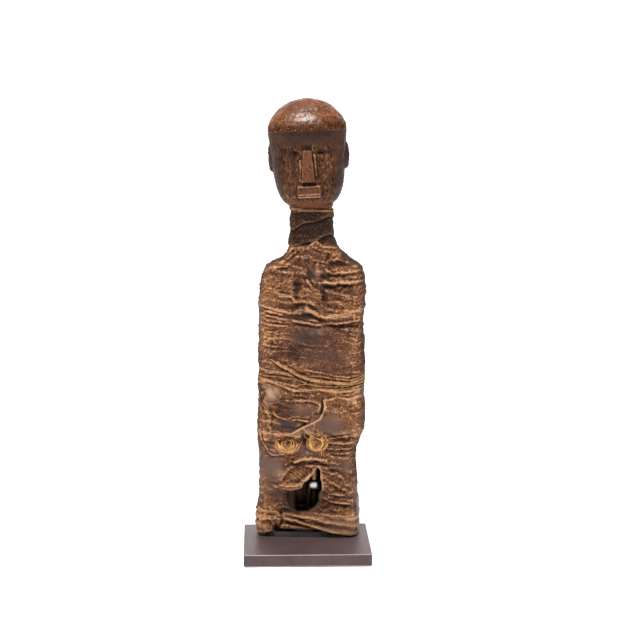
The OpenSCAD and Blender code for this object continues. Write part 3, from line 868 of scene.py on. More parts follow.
def snap_to(q, z, moved, outline, reach):
    """Moves the marked points to the nearest place on a closed outline."""
    ring = np.array(outline + outline[:1], float)
    best = np.full(moved.sum(), 1e9)
    to_q, to_z = q[moved].copy(), z[moved].copy()
    from_q, from_z = q[moved], z[moved]
    for (aq, az), (bq, bz) in zip(ring[:-1], ring[1:]):
        length = math.hypot(bq - aq, bz - az)
        t = np.clip(((from_q - aq) * (bq - aq) + (from_z - az) * (bz - az)) / length ** 2, 0, 1)
        near_q, near_z = aq + t * (bq - aq), az + t * (bz - az)
        d = np.hypot(from_q - near_q, from_z - near_z)
        closer = (d < best) & (d < reach)
        best = np.where(closer, d, best)
        to_q, to_z = np.where(closer, near_q, to_q), np.where(closer, near_z, to_z)
    q, z = q.copy(), z.copy()
    q[moved], z[moved] = to_q, to_z
    return q, z


def two_sided(rows, columns, kept):
    """Faces of a sheet with an outer and an inner side joined round every edge. Points are laid
    out as rows x columns for the outer side, and then again for the inner side."""
    layer = rows * columns
    r, c = np.nonzero(kept)
    c2 = (c + 1) % columns
    a, b = r * columns + c, r * columns + c2
    d, e = (r + 1) * columns + c, (r + 1) * columns + c2
    outer = np.stack([a, b, e, d], axis=1)
    inner = np.stack([a, d, e, b], axis=1) + layer
    edges = np.concatenate([outer[:, [0, 1]], outer[:, [1, 2]], outer[:, [2, 3]], outer[:, [3, 0]]])
    keys = np.sort(edges, axis=1) @ np.array([2 * layer, 1])
    _, first, count = np.unique(keys, return_index=True, return_counts=True)
    rim = edges[first[count == 1]]
    walls = np.stack([rim[:, 1], rim[:, 0], rim[:, 0] + layer, rim[:, 1] + layer], axis=1)
    return np.concatenate([outer, inner, walls])


def hide_sheet(name, q, z, thickness, offset, outline=None, hole=None, extra=None, closed=True):
    """A sheet of hide over the body. q and z are grids; offset moves it out; outline keeps only
    what is inside it, and hole cuts its inside out."""
    rows, columns = q.shape
    step = max(np.abs(np.diff(z[:, 0])).max(), 0.5) * 1.6
    kept = np.ones((rows - 1, columns if closed else columns - 1), bool)
    distance = np.minimum(np.abs(z - z[0]), np.abs(z - z[-1])).ravel()
    q, z = q.ravel(), z.ravel()
    middle = columns // 2
    for ring, wanted in ((outline, True), (hole, False)):
        if ring is None:
            continue
        grid = np.arange(rows * columns).reshape(rows, columns)
        here = grid[:-1] if closed else grid[:-1, :-1]
        right = np.roll(grid, -1, 1)[:-1] if closed else grid[:-1, 1:]
        half_step = abs(q[middle] - q[middle - 1]) / 2
        middle_q = (q[here] + q[here + columns]) / 2 + half_step
        middle_z = (z[here] + z[here + columns] + z[right] + z[right + columns]) / 4
        hit = inside(middle_q.ravel(), middle_z.ravel(), ring).reshape(middle_q.shape)
        kept &= hit if wanted else ~hit
        uses = np.zeros(rows * columns, int)
        for corners in (here, right, here + columns, right + columns):
            np.add.at(uses, corners[kept], 1)
        rim = (uses > 0) & (uses < 4)
        q, z = snap_to(q, z, rim, ring, step)
        d = distance_to_line(q, z, list(ring) + list(ring[:1]))[0]
        distance = np.minimum(distance, d) if not wanted else d
    point, out = body_surface(q, z)
    height, gold, dark_and_shade, smooth = hide_relief(q, z, point)
    if extra is not None:
        height, gold, dark_and_shade, smooth = extra(q, z, point, height, gold, dark_and_shade, smooth)
    lip = np.minimum(edge_lip(distance), thickness * 0.47)
    outer = point + out * (offset(q, z) + height - lip)[:, None]
    limit = np.minimum(offset(q, z) + height - thickness + lip, offset(q, z) + height - lip - 0.1)
    inner = point + out * limit[:, None]
    faces = two_sided(rows, columns, kept)
    points = np.concatenate([outer, inner])
    used, faces = np.unique(faces, return_inverse=True)
    piece = new_mesh(name, place(points[used]), faces.reshape(-1, 4))
    order = match_points(piece, place(points[used]))
    for key, values in (("gold", gold), ("dark_and_shade", dark_and_shade), ("smooth", smooth)):
        store(piece, key, np.concatenate([values, values])[used][order])
    store_relief(piece, passes=14, reach=0.42)
    return piece


def match_points(piece, points):
    """For each point of a piece, its place in the list that it was made from."""
    if len(piece.data.vertices) == len(points):
        return np.arange(len(points))
    table = {tuple(np.round(p * 1e7).astype(int)): i for i, p in enumerate(points)}
    found = np.round(points_of(piece) * 1e7).astype(int)
    return np.array([table.get(tuple(p), 0) for p in found])


SPACING = 0.62
COLUMNS = int(2 * HALF_ROUND / SPACING)


def line_round(points):
    """Height as a function of q from points (q, z), the same at both ends of the way round."""
    at, height = np.array(points, float).T
    at = np.concatenate([[-HALF_ROUND], at, [HALF_ROUND]])
    back = (height[0] + height[-1]) / 2
    height = np.concatenate([[back], height, [back]])

    def of(q):
        wave = 0.5 * np.sin(q * 2 * math.pi / HALF_ROUND * 4 + height[1])
        return np.interp(q, at, height) + wave * (1 - front_share(q))
    return of


def wrap_grid(low, high):
    """Grid of q and z between two edge lines, all the way round the body."""
    q = -HALF_ROUND + (np.arange(COLUMNS) + 0.5) * 2 * HALF_ROUND / COLUMNS
    low_z, high_z = low(q), high(q)
    slope = np.hypot(1, 0.55 * np.gradient(WIDE_OF * HALF_W, TABLE_Z))
    length = np.concatenate([[0], np.cumsum(slope * 0.25)])[:len(TABLE_Z)]
    first, last = np.interp([low_z.mean(), high_z.mean()], TABLE_Z, length)
    rows = max(int((last - first) / SPACING), 8)
    even = np.interp(np.linspace(first, last, rows + 1), length, TABLE_Z)
    share = (even - even[0]) / (even[-1] - even[0])
    z = low_z[None] + share[:, None] * (high_z - low_z)[None]
    return np.broadcast_to(q, z.shape).copy(), z


CHEST_LINE = line_round([(-60, 186), (-42, 187.4), (-29, 183.6), (-20.8, 182), (-15, 181.6),
                         (-8, 185.4), (2.4, 180.6), (11.5, 177.4), (24, 180.6), (40, 184),
                         (60, 186)])
WAIST_LINE = line_round([(-60, 122), (-42, 128.6), (-26.6, 124), (-12, 118.4), (4, 120.6),
                         (14.4, 119), (26, 118.6), (42, 121), (60, 120)])
HIP_LINE = line_round([(-60, 83), (-42, 85.6), (-34, 84.6), (-21, 82.4), (-12, 83.4),
                       (-3, 84.4), (6, 84), (18, 82.8), (28, 84.6), (40, 85), (60, 83)])
HEM_LINE = line_round([(-60, 18.2), (-42, 22), (-30, 20.6), (-20, 19), (-2, 17.8), (20, 17.4),
                       (40, 17), (60, 18.2)])
NAPE_LINE = line_round([(-60, 233.6), (-18, 234.2), (-10, 233), (-2, 236), (10, 239.4),
                        (18, 235), (60, 233.6)])


def shifted(line, by):
    return lambda q: line(q) + by


def lapped(low, high, under=1.2, over=0.5, reach=2.6):
    """Offset of a wrap whose top tucks under the wrap above and whose foot rides over the next."""
    def of(q, z):
        tuck = 1 - smooth_step(high(q) - z, 0.6, reach)
        rise = 1 - smooth_step(z - low(q), 0.8, reach * 2)
        return -under * tuck + over * rise
    return of


def make_chest_wrap():
    low, high = shifted(WAIST_LINE, -0.6), shifted(CHEST_LINE, 2.0)
    q, z = wrap_grid(low, high)
    piece = hide_sheet("chest_hide", q, z, 2.3, lapped(low, high))
    return own(piece, "chest_wrap", "doll", DRY_HIDE)


def make_hip_wrap():
    low, high = shifted(HIP_LINE, -0.6), shifted(WAIST_LINE, 2.0)
    q, z = wrap_grid(low, high)
    piece = hide_sheet("hip_hide", q, z, 2.3, lapped(low, high))
    return own(piece, "hip_wrap", "doll", DRY_HIDE)


def make_shoulder_yoke():
    low, high = shifted(CHEST_LINE, -0.6), shifted(NAPE_LINE, 1.6)
    q, z = wrap_grid(low, high)
    piece = hide_sheet("shoulder_hide", q, z, 2.3, lapped(low, high))
    return own(piece, "shoulder_yoke", "doll", DRY_HIDE)


TEAR = [(5, 57), (7.3, 54.6), (7.2, 48), (8.4, 43), (8.2, 37.6), (5.6, 34.6), (5.6, 29),
        (3, 24.6), (-2.6, 21.8), (-11, 21.2), (-16.6, 24.6), (-19, 31), (-18, 36.4),
        (-12, 38.2), (-7.6, 40), (-6.2, 43.6), (-2, 47), (1.8, 51.6)]


def draw_in_tear(q, z, points, height, gold, dark_and_shade, smooth):
    """The hide sinks towards the tear, and folds into a leaf-shaped hollow beside it; round the tear it is darkened
    with painted shade.
    """
    x = across_of(q, z)
    d = distance_to_line(x, z, TEAR + TEAR[:1])[0]
    front = front_share(q)
    outside_low = smooth_step(40 - z, 0, 5)
    height = height - front * (3.0 * np.exp(-d / 4.2) * outside_low + 0.8 * np.exp(-d / 1.5))
    leaf = [(4, 57.6), (-4, 59), (-11, 59), (-17, 57), (-22, 51), (-25.6, 44.6), (-18, 43.4),
            (-10, 44), (-4, 47.6), (1, 52)]
    hit = inside(x, z, leaf)
    rim = distance_to_line(x, z, leaf + leaf[:1])[0]
    hollow = np.where(hit, smooth_step(rim, 0, 2.6), 0) * front
    ribs = np.sin((x * 0.75 + z * 0.9) * 2.1) * 0.22 + noise(points, 2.2, 71) * 0.3
    height = height * (1 - 0.5 * hollow) - 1.5 * hollow + ribs * hollow
    gold = np.maximum(gold, hollow * 0.95)
    # painted shade round the tear's lower part, on the front
    dark_and_shade = np.maximum(dark_and_shade * (1 - hollow), np.exp(-d / 5.0) * outside_low * front)
    return height, gold, dark_and_shade, smooth * (1 - hollow)


def make_skirt_wrap():
    low, high = shifted(HEM_LINE, -0.6), shifted(HIP_LINE, 2.0)
    q, z = wrap_grid(low, high)
    hole = [(round_of(x, height), height) for x, height in TEAR]
    piece = hide_sheet("skirt_hide", q, z, 2.4, lapped(low, high), hole=hole,
                       extra=draw_in_tear)
    return own(piece, "skirt_wrap", "doll", DRY_HIDE)


def hem_foot(q):
    """The hem's lower edge: long on the right, hitched up over the plate, down again at the left."""
    front = np.interp(q, [-60, -46, -43, -34, -29.5, -27.4, -25.5, -22, -6, 10, 22, 36, 46, 60],
                      [1.2, 1.6, 2.2, 3.2, 4.8, 7.6, 10.4, 7, 6.4, 6, 3, 1.4, 1, 1.2])
    back = np.where(q > 0, np.interp(q, [60, 92, 99, 107.3], [1.2, 1.4, 6.6, 6.8]),
                    np.interp(-q, [60, 75, 79, 84, 107.3], [1.2, 1.4, 3, 6.6, 6.8]))
    return np.where(np.abs(q) < 60, front, back)


def roll_of_hem(q, z, points, height, gold, dark_and_shade, smooth):
    """The hem is a roll of several turns of hide: it swells, and cords of it run along it."""
    share = np.clip((z - hem_foot(q)) / np.maximum(HEM_LINE(q) - hem_foot(q), 4), 0, 1)
    swell = np.sqrt(np.clip(1 - (2 * share - 1) ** 2, 0, 1))
    turns = np.abs(np.sin(share * math.pi * 2.5 + q * 0.02 + noise(points, 14, 41) * 0.9))
    front = front_share(q)
    plain = smooth_step(q, 8, 26) * front
    height = (height * (0.8 - 0.35 * plain) + 0.9 * swell - 0.5
              + (turns - 0.5) * 1.3 * (1 - 0.6 * front))
    return height, np.maximum(gold, 0.75), dark_and_shade * 0.35, np.maximum(smooth * 0.3, plain * 0.4)


def make_hem_roll():
    q, z = wrap_grid(hem_foot, shifted(HEM_LINE, 1.6))
    piece = hide_sheet("rolled_hem", q, z, 3.0, lapped(hem_foot, shifted(HEM_LINE, 1.6), 1.4, -0.2),
                       extra=roll_of_hem)
    return own(piece, "hem_roll", "doll", DRY_HIDE)


FLAP = [(9.4, 112.4), (10.3, 107), (9.4, 102), (6.6, 97), (1.7, 94), (-6.8, 90.2), (-13.9, 85.6),
        (-21.4, 84.4), (-21.6, 82.8), (-13, 82.4), (-5, 84.8), (2, 88), (6, 86.2), (11, 84.2),
        (18, 82.8), (28, 84.4), (38, 86), (47, 86), (57, 88), (61, 96), (59, 110), (50, 115.4),
        (38, 116.4), (30, 113.6), (20, 115), (14, 112.6)]


def smooth_flap(q, z, points, height, gold, dark_and_shade, smooth):
    """The flap is thinner and smoother than the hide under it, with a bright worn edge."""
    x = across_of(q, z)
    edge = distance_to_line(x, z, FLAP[:8])[0]
    rubbed = np.exp(-(edge / 1.3) ** 2)
    lower = smooth_step(98 - z, 0, 6) * smooth_step(28 - x, 0, 6)
    height = height * (1 - 0.55 * lower) + 0.5 * rubbed
    gold = np.maximum(gold * (1 - 0.8 * lower), rubbed)
    return height, gold, dark_and_shade * (1 - rubbed), np.maximum(smooth, lower * 0.8)


def make_hip_flap():
    columns = int(84 / SPACING)
    rows = int(36 / SPACING)
    q = np.broadcast_to(np.linspace(-22.5, 61.5, columns), (rows, columns)).copy()
    z = np.broadcast_to(np.linspace(81.5, 117.5, rows)[:, None], (rows, columns)).copy()
    piece = hide_sheet("hip_lap", q, z, 1.5, lambda q, z: 0.85 + 0 * q, outline=FLAP,
                       extra=smooth_flap, closed=False)
    return own(piece, "hip_flap", "doll", FLAP_HIDE)


def neck_turns(q, z, points, height, gold, dark_and_shade, smooth):
    """Laps of the strip wound round the neck, rising to the right across the front."""
    x = across_of(q, z)
    climb = z - 0.36 * x * front_share(q) - 6.5 * (q / HALF_ROUND) * (1 - front_share(q))
    turn = (climb - 238.2) / 14 + noise(points, 9, 51) * 0.13 + noise(points, 3, 52) * 0.03
    share = turn - np.floor(turn)
    lap = (1.0 - share - 0.9 * np.exp(-(share / 0.05) ** 2)
           - 0.6 * np.exp(-((1 - share) / 0.05) ** 2))
    height = height * 0.55 + lap * 1.15 - 0.5
    band = smooth_step(z, NECK_TOP - 2.4, NECK_TOP - 1.2)
    edge = np.exp(-((share - 0.05) / 0.05) ** 2)
    return (height + band * 0.15, np.maximum(np.maximum(gold * 0.15, band), edge * 0.12),
            dark_and_shade * 0.3, smooth * 0.2)


def neck_top(q):
    """The binding's upper edge, which slants round the neck."""
    return NECK_TOP + 0.4 - 1.2 * np.sin(q / HALF_ROUND * math.pi / 2 * 1.7)


def make_neck_binding():
    q, z = wrap_grid(shifted(NAPE_LINE, -0.6), neck_top)
    piece = hide_sheet("neck_strip", q, z, 2.4, lambda q, z: 0.3 + 0 * q, extra=neck_turns)
    return own(piece, "neck_binding", "doll", SHADED_NECK_HIDE)


# --- cords, knots and lacing ---------------------------------------------------------------------

# Strands round the waist: (q, z) across the front, and then level round the back
STRANDS = [
    ([(-60, 140), (-46, 143), (-38, 145), (-31.5, 144.2), (-24, 139.8), (-16.7, 136.2),
      (-11, 132.8), (-6.8, 130.2), (0, 128.2), (8, 127.2), (20, 125.6), (31, 125.4), (41, 129),
      (50, 131)], 0.8),
    ([(-50, 136), (-42, 137), (-32, 135.4), (-22, 134.4), (-12, 132), (-2, 131), (8, 130.6),
      (20, 129.2), (31, 128.4), (41, 131.4), (50, 133.6)], 0.55),
    ([(-50, 132.6), (-41, 131.8), (-26, 130.4), (-12.4, 129.2), (-3, 125.2), (5.9, 123.6),
      (16, 122.8), (28, 123.2), (41, 126.4), (50, 128)], 0.6),
    ([(-50, 130), (-40, 129.8), (-33, 127.2), (-26.6, 124.8), (-16.7, 121.4), (-8, 120),
      (3, 121), (14, 120.4), (25, 121), (41, 124), (50, 125)], 0.65),
    ([(-50, 127.4), (-38.6, 125.6), (-25.2, 122.2), (-12.4, 123.4), (0, 124.8), (14, 125),
      (28, 126.4), (41, 128.6), (50, 130.4)], 0.5),
]


def dive(q, z):
    """How deep a strand goes under the hide, where it isn't seen on the left of the front."""
    return 3.0 * smooth_step(z, 136, 140) * smooth_step(-30 - q, 0, 5) * smooth_step(q + 75, 0, 8)


def cord_along(line, radius, seed, sink=0.7):
    """Two plies of hide thong twisted together along (q, z) points round the body."""
    at, height = np.array(line, float).T
    count = int(2 * HALF_ROUND / (0.9))
    q = -HALF_ROUND + np.arange(count) * 2 * HALF_ROUND / count
    back = (height[0] + height[-1]) / 2
    z = np.interp(q, np.concatenate([[-HALF_ROUND], at, [HALF_ROUND]]),
                  np.concatenate([[back], height, [back]]))
    kernel = np.hanning(7) / np.hanning(7).sum()
    z = np.convolve(np.concatenate([z[-8:], z, z[:8]]), kernel, "same")[8:-8]
    point, out = body_surface(q, z)
    z += 0.5 * noise(point, 9, seed)
    point, out = body_surface(q, z)
    height = hide_relief(q, z, point)[0]
    thick = radius * (0.74 + 0.3 * noise(point, 4, seed + 1))
    base = np.convolve(np.concatenate([height[-8:], height, height[:8]]), kernel, "same")[8:-8]
    centre = point + out * (base * 0.75 + 0.35 + thick * (1 - sink) - dive(q, z))[:, None]
    ahead = np.roll(centre, -1, 0) - np.roll(centre, 1, 0)
    ahead /= np.linalg.norm(ahead, axis=1)[:, None]
    side = np.cross(ahead, out)
    twist = np.arange(count) * 2 * math.pi * round(count / 9) / count
    plies = []
    for k in range(2):
        a = twist + k * math.pi
        shift = np.cos(a)[:, None] * side + np.sin(a)[:, None] * out * 0.7
        shift = shift * (thick * 0.55)[:, None]
        plies.append(tube(centre + shift, thick * 0.68, 7, closed=True))
    return plies


def make_waist_cords():
    parts = []
    for i, (line, radius) in enumerate(STRANDS):
        parts += cord_along(line, radius, 80 + 3 * i)
    points, faces = join_parts(parts)
    piece = new_mesh("waist_thongs", place(points), faces)
    store_relief(piece, passes=6, reach=0.3)
    return own(piece, "waist_cords", "doll", CORD)


def lump(centre, radii, rise, seed):
    """A low dome on the front of the hide, closed behind."""
    rings, sides = 26, 56
    points = []
    for i in range(rings + 1):
        a = math.pi * i / rings
        for k in range(sides):
            b = 2 * math.pi * k / sides
            points.append((math.sin(a) * math.cos(b), -math.cos(a), math.sin(a) * math.sin(b)))
    unit = np.array(points)
    bumps = 1 + 0.1 * noise(unit * 9, 4, seed) + 0.07 * noise(unit * 9, 1.8, seed + 1)
    x = centre[0] + unit[:, 0] * radii[0] * bumps
    z = centre[1] + unit[:, 2] * radii[1] * bumps
    surface = body_surface(round_of(x, z), z)[0]
    stand = np.where(unit[:, 1] < 0, -unit[:, 1] * rise, -unit[:, 1] * 1.4)
    y = surface[:, 1] - stand * bumps
    faces = []
    for i in range(rings):
        for k in range(sides):
            k2 = (k + 1) % sides
            faces.append((i * sides + k, i * sides + k2, (i + 1) * sides + k2, (i + 1) * sides + k))
    return np.stack([x, y, z], axis=1), faces


def fibre(x, z, lift, radius, seed):
    """One fibre lying along (x, z) points of the front, lift mm out from the body."""
    surface = body_surface(round_of(x, z), z)[0]
    path = np.stack([x, surface[:, 1] - lift, z], axis=1)
    path += 0.25 * np.stack([noise(path, 3, seed + k) for k in range(3)], axis=1)
    taper = np.interp(np.linspace(0, 1, len(x)), [0, 0.15, 0.85, 1], [0.35, 1, 1, 0.35])
    return tube(path, radius * taper, 6)


def make_knot(name, node, centre, radii, rise, seed, ring_share, strays):
    """A knot of plant fibre: a low lump under many fibres that hang round it in bowed loops."""
    rng = np.random.default_rng(seed)
    parts = [lump(centre, radii, rise * 0.72, seed)]
    # painted shade: the lump under the fibres is made darker
    tones_and_light = [-0.45]
    for i in range(104):
        size = rng.uniform(0.2, 1.1)
        ring = rng.random() < ring_share
        sweep = rng.uniform(3.4, 5.2) if ring else rng.uniform(1.1, 2.3)
        middle = -math.pi / 2 + rng.normal(0, 0.5)
        a = np.linspace(middle - sweep / 2, middle + sweep / 2, 20)
        shift = rng.normal(0, 1.1, 2)
        tilt = rng.normal(0, 0.35)
        along, up = radii[0] * size * np.cos(a), radii[1] * size * np.sin(a)
        x = centre[0] + shift[0] + along * math.cos(tilt) - up * math.sin(tilt)
        z = centre[1] + shift[1] * 0.6 + along * math.sin(tilt) + up * math.cos(tilt)
        r = np.hypot((x - centre[0]) / radii[0], (z - centre[1]) / radii[1])
        lift = rise * np.sqrt(np.clip(1.2 - r ** 2, 0.04, 1)) + rng.uniform(-0.5, 0.6)
        parts.append(fibre(x, z, lift, rng.uniform(0.18, 0.42), seed + i))
        # painted highlight: the larger fibres round the knot's lower rim are made lighter
        rim_highlight = 0.45 * (size > 0.6) * (not ring or rng.random() < 0.5)
        tones_and_light.append(rng.uniform(-0.45, 0.85) + rim_highlight)
    for line in strays:
        at = np.linspace(0, 1, 18)
        knots = np.linspace(0, 1, len(line))
        x = np.interp(at, knots, [p[0] for p in line])
        z = np.interp(at, knots, [p[1] for p in line])
        bow = np.sin(at * math.pi) * rng.normal(0, 1.0) + np.sin(at * 5.3) * rng.normal(0, 0.5)
        parts.append(fibre(x + bow, z, np.interp(at, [0, 0.3, 1], [rise * 0.8, 1.5, 0.9]),
                           rng.uniform(0.2, 0.36), seed + 300 + len(parts)))
        tones_and_light.append(rng.uniform(-0.3, 0.9))
    points, faces = join_parts(parts)
    piece = new_mesh(name, place(points), faces)
    tone_and_light = np.concatenate([np.full(len(part[0]), value) for part, value in zip(parts, tones_and_light)])
    store(piece, "tone_and_light", tone_and_light[match_points(piece, place(points))])
    store_relief(piece, passes=5, reach=0.3)
    return own(piece, node, "doll", FIBRE)


def make_knots():
    make_knot("left_fibre_knot", "knot_left", (-18.4, 76.6), (9.4, 6.6), 3.2, 201, 0.1,
              [[(-27, 81.8), (-30.6, 83.4), (-34.6, 83)], [(-22, 83), (-19, 85.6), (-12, 84.6)],
               [(-12, 72), (-9, 75), (-7.4, 79)], [(-24, 73), (-16, 79.5), (-10, 83)]])
    make_knot("right_fibre_knot", "knot_right", (4.7, 77.6), (7.2, 6.4), 3.0, 202, 0.55,
              [[(7.6, 74), (8.6, 70), (7.8, 66.4)], [(8.4, 73), (10.8, 69.6), (10.2, 66)],
               [(6, 73), (5.2, 69.4), (6, 66.8)], [(10, 80), (15, 81.6), (21, 81)],
               [(-1.6, 79), (-4.6, 84), (-0.6, 90)], [(2, 83), (0.4, 88), (3.6, 93)],
               [(5, 83), (6.4, 88), (3.4, 92)], [(8, 82), (8.8, 86), (6.4, 91)],
               [(3, 82), (-2, 85.6), (-6, 89.4)], [(0, 82), (2.6, 86.6), (5.4, 90)],
               [(11, 78), (19, 79), (27, 78.4)]])


def make_back_lacing():
    """Thong stitches across the seam down the back, each drawn into a hole at both ends."""
    low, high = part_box("back_lacing")
    rng = np.random.default_rng(77)
    parts = []
    count = 8
    first = (low.z - BASE_TOP) / MM + 1.5
    last = (high.z - BASE_TOP) / MM - 1.5
    for i in range(count):
        z0 = first + (last - first) * i / (count - 1)
        slant = rng.uniform(-1.6, 1.6)
        t = np.linspace(-1, 1, 26)
        q = HALF_ROUND + t * 6.0
        q = np.where(q > HALF_ROUND, q - 2 * HALF_ROUND, q)
        z = z0 + slant * t + 0.25 * np.sin(t * 5 + i)
        point, out = body_surface(q, z)
        stand = 1.7 * (1 - t ** 4) - 1.2 * np.abs(t) ** 6
        path = point + out * stand[:, None]
        radius = 0.9 + 0.14 * np.sin(t * 9 + i)
        parts.append(tube(path, radius, 10))
        path = path + np.array([0, 0.15, 1.35])
        parts.append(tube(path, radius * 0.72, 8))
    points, faces = join_parts(parts)
    piece = new_mesh("back_stitches", place(points), faces)
    store_relief(piece, passes=4, reach=0.3)
    return own(piece, "back_lacing", "doll", CORD)


# --- the carving ---------------------------------------------------------------------------------

def box_field(p, centre, half, radius):
    """Signed distance to a box with rounded edges."""
    d = np.abs(p - np.array(centre)) - (np.array(half) - radius)
    outside = np.linalg.norm(np.maximum(d, 0), axis=-1)
    return outside + np.minimum(d.max(axis=-1), 0) - radius


def egg_field(p, centre, radii):
    """Roughly the signed distance to an ellipsoid."""
    radii = np.array(radii, float)
    d = np.linalg.norm((p - np.array(centre)) / radii, axis=-1)
    return (d - 1) * radii.min()


def joined(a, b, soft):
    """Union of two fields with a fillet."""
    h = np.clip(0.5 + 0.5 * (b - a) / soft, 0, 1)
    return b + (a - b) * h - soft * h * (1 - h)


def cut_by(a, b, soft):
    """Field a with field b cut out of it, with a softened edge."""
    return -joined(-a, b, soft)


# height above the chin's foot, half width, front, back
HEAD_FORM = [(-6, 15.0, -12.2, 12.2), (-2, 15.8, -12.8, 12.6), (0.6, 18.4, -15.6, 13.4),
             (3, 21, -18.4, 14.0), (7, 23.6, -20.2, 15.0), (14, 26.2, -21, 16.4),
             (21, 27.5, -21, 18), (28, 28.3, -20.4, 19.6), (38, 29.2, -20, 21.2),
             (49, 30, -20.2, 22.6), (56.5, 30.8, -20.4, 23), (60, 31, -20.8, 23),
             (63, 30.4, -19.9, 22.6), (66, 29, -18.6, 21.6), (69, 27.3, -17.0, 20.2),
             (72, 24.9, -15.1, 18.2), (75, 22, -12.9, 15.8), (77.4, 18.9, -10.7, 13.4),
             (79.4, 15.4, -8.5, 11), (81, 11.6, -6.3, 8.4), (82.3, 6.6, -3.6, 4.8),
             (82.9, 2, -1.2, 1.6), (85, 0.1, -0.1, 0.1)]
LEDGE = 58.2


def head_field(p):
    """The head in its own frame: x right, y back, z up from the chin's foot."""
    x, y, h = p[:, 0], p[:, 1], p[:, 2]
    at, wide, front, back = np.array(HEAD_FORM, float).T
    half = np.interp(h, at, wide)
    forward = -np.interp(h, at, front)
    behind = np.interp(h, at, back)
    uneven = 0.9 * noise(p, 7, 90) + 0.4 * noise(p, 2.6, 91)
    over = smooth_step(h - uneven * 0.8, LEDGE - 0.7, LEDGE + 0.5) * (1 - smooth_step(h, 66, 84))
    corner = smooth_step(29 - np.abs(x), 0, 12)
    forward = forward + 2.9 * over * (0.35 + 0.65 * corner)
    depth = np.where(y < 0, forward, behind)
    power = np.where(y < 0, 2.55 - 0.35 * smooth_step(h, 58, 66), 2.1)
    r = ((np.abs(x) / half) ** power + (np.abs(y) / depth) ** power) ** (1 / power)
    d = (r - 1) * np.minimum(half, depth)
    d = np.maximum(d, h - 83)
    # the crown rounds over, so its distance is shortened there
    d *= 1 - 0.45 * smooth_step(h, 64, 80)
    # cheeks hollowed beside the nose
    d = cut_by(d, egg_field(p, (-11, -28, 32), (9, 9.6, 15)), 3.0)
    d = cut_by(d, egg_field(p, (12, -28, 32), (9, 9.4, 15)), 3.0)
    # eyes: shallow sockets, the left one rounder and the right one a slot under the brow
    d = cut_by(d, egg_field(p, (-11.0, -20.6, 40.4), (5.2, 3.0, 3.6)), 1.0)
    d = cut_by(d, egg_field(p, (-9.0, -20.4, 41.4), (2.0, 2.6, 1.3)), 0.9)
    d = cut_by(d, egg_field(p, (12.2, -20.8, 41.4), (5.8, 2.9, 2.6)), 0.9)
    d = cut_by(d, egg_field(p, (11.0, -20.2, 40.6), (3.2, 3.6, 1.2)), 0.5)
    # nose: a long block, wider at its foot, with its flanks edged
    grow = np.clip((44 - h) / 25, 0, 1)
    nose_half = 3.2 + 1.9 * grow
    flat = np.stack([(x - 0.1) / nose_half * 4, y, h], axis=1)
    nose = box_field(flat, (0, -19.5, 31), (4, 5.4, 12.6), 0.9)
    nose = np.maximum(nose, -(y + 22.6 + 2.2 * grow))
    d = joined(d, nose, 0.7)
    # beads along the nose
    for side, low, high in ((-1, 19.5, 36), (1, 23, 40)):
        line_x = 0.1 + side * (6.1 + 0.3 * noise(p, 8, 96)) * (0.86 + 0.16 * grow)
        bead = np.hypot(x - line_x, y + 20.4) - 1.0
        bead = np.maximum(bead, np.maximum(low - h, h - high))
        d = joined(d, bead, 0.7)
    # notch over the nose, slot under it
    d = cut_by(d, box_field(p, (-0.2, -22, 45.2), (4.0, 2.7, 2.1), 0.5), 0.4)
    d = cut_by(d, box_field(p, (0.3, -25, 16.9), (5.2, 4.9, 1.7), 0.6), 0.4)
    # mouth: an open frame with a raised rim, hollow inside
    lips = box_field(p, (0.2, -21.2, 10.9), (8.8, 3.0, 4.4), 1.4)
    d = joined(d, lips, 0.6)
    d = cut_by(d, box_field(p, (0.2, -24.8, 12.0), (7.6, 2.7, 2.6), 0.8), 0.3)
    d = cut_by(d, box_field(p, (0.2, -24.8, 8.1), (7.2, 1.3, 0.5), 0.3), 0.3)
    teeth = np.abs(np.sin(x * 1.35)) ** 8 * (np.abs(h - 11.9) < 2.6) * (np.abs(x) < 7) * (y < -20)
    d = d + 0.35 * teeth
    # ears: open rings
    for side in (-1, 1):
        shell = egg_field(p, (side * 28.6, 1.5, 37.4), (4.2, 6.4, 10.8))
        shell = cut_by(shell, egg_field(p, (side * 32.2, 0.4, 37.4), (2.8, 4.4, 8.4)), 0.5)
        d = joined(d, shell, 0.8)
    # tool marks run down the face and sides
    face = (1 - smooth_step(h, 45, 48) * smooth_step(-y, 8, 14)) * (1 - smooth_step(h, 57, 60))
    marks = creases(p, 2.3, 92, (1, 1, 6)) - 0.35
    plain = 1 - smooth_step(4.6 - np.abs(x), 0, 1) * (y < -18) * 0.75
    d -= 0.32 * marks * face * plain * (h > 1)
    d -= 0.2 * noise(p, 1.5, 93, (1, 1, 2)) * face
    # dents in the crown, crumbling at its foot
    crown = smooth_step(h, LEDGE, LEDGE + 2)
    d -= crown * (0.25 * noise(p, 5, 94) + 0.14 * noise(p, 1.8, 95))
    foot = np.exp(-((h - LEDGE - 2.2) / 2.4) ** 2) * (y < 4)
    d -= foot * 0.55 * (creases(p, 2.6, 97) - 0.4)
    return d


def neck_field(p):
    """The carved neck under its binding and just over it."""
    wave = 0.3 * noise(p, 5, 98)
    d = box_field(p, (0, 0, 246), (14.4, 11.9, 23), 8)
    rim = box_field(p, (0, 0, 265.6), (16.4, 13.4, 2.6), 2.5)
    return joined(d, rim, 1.2) - wave


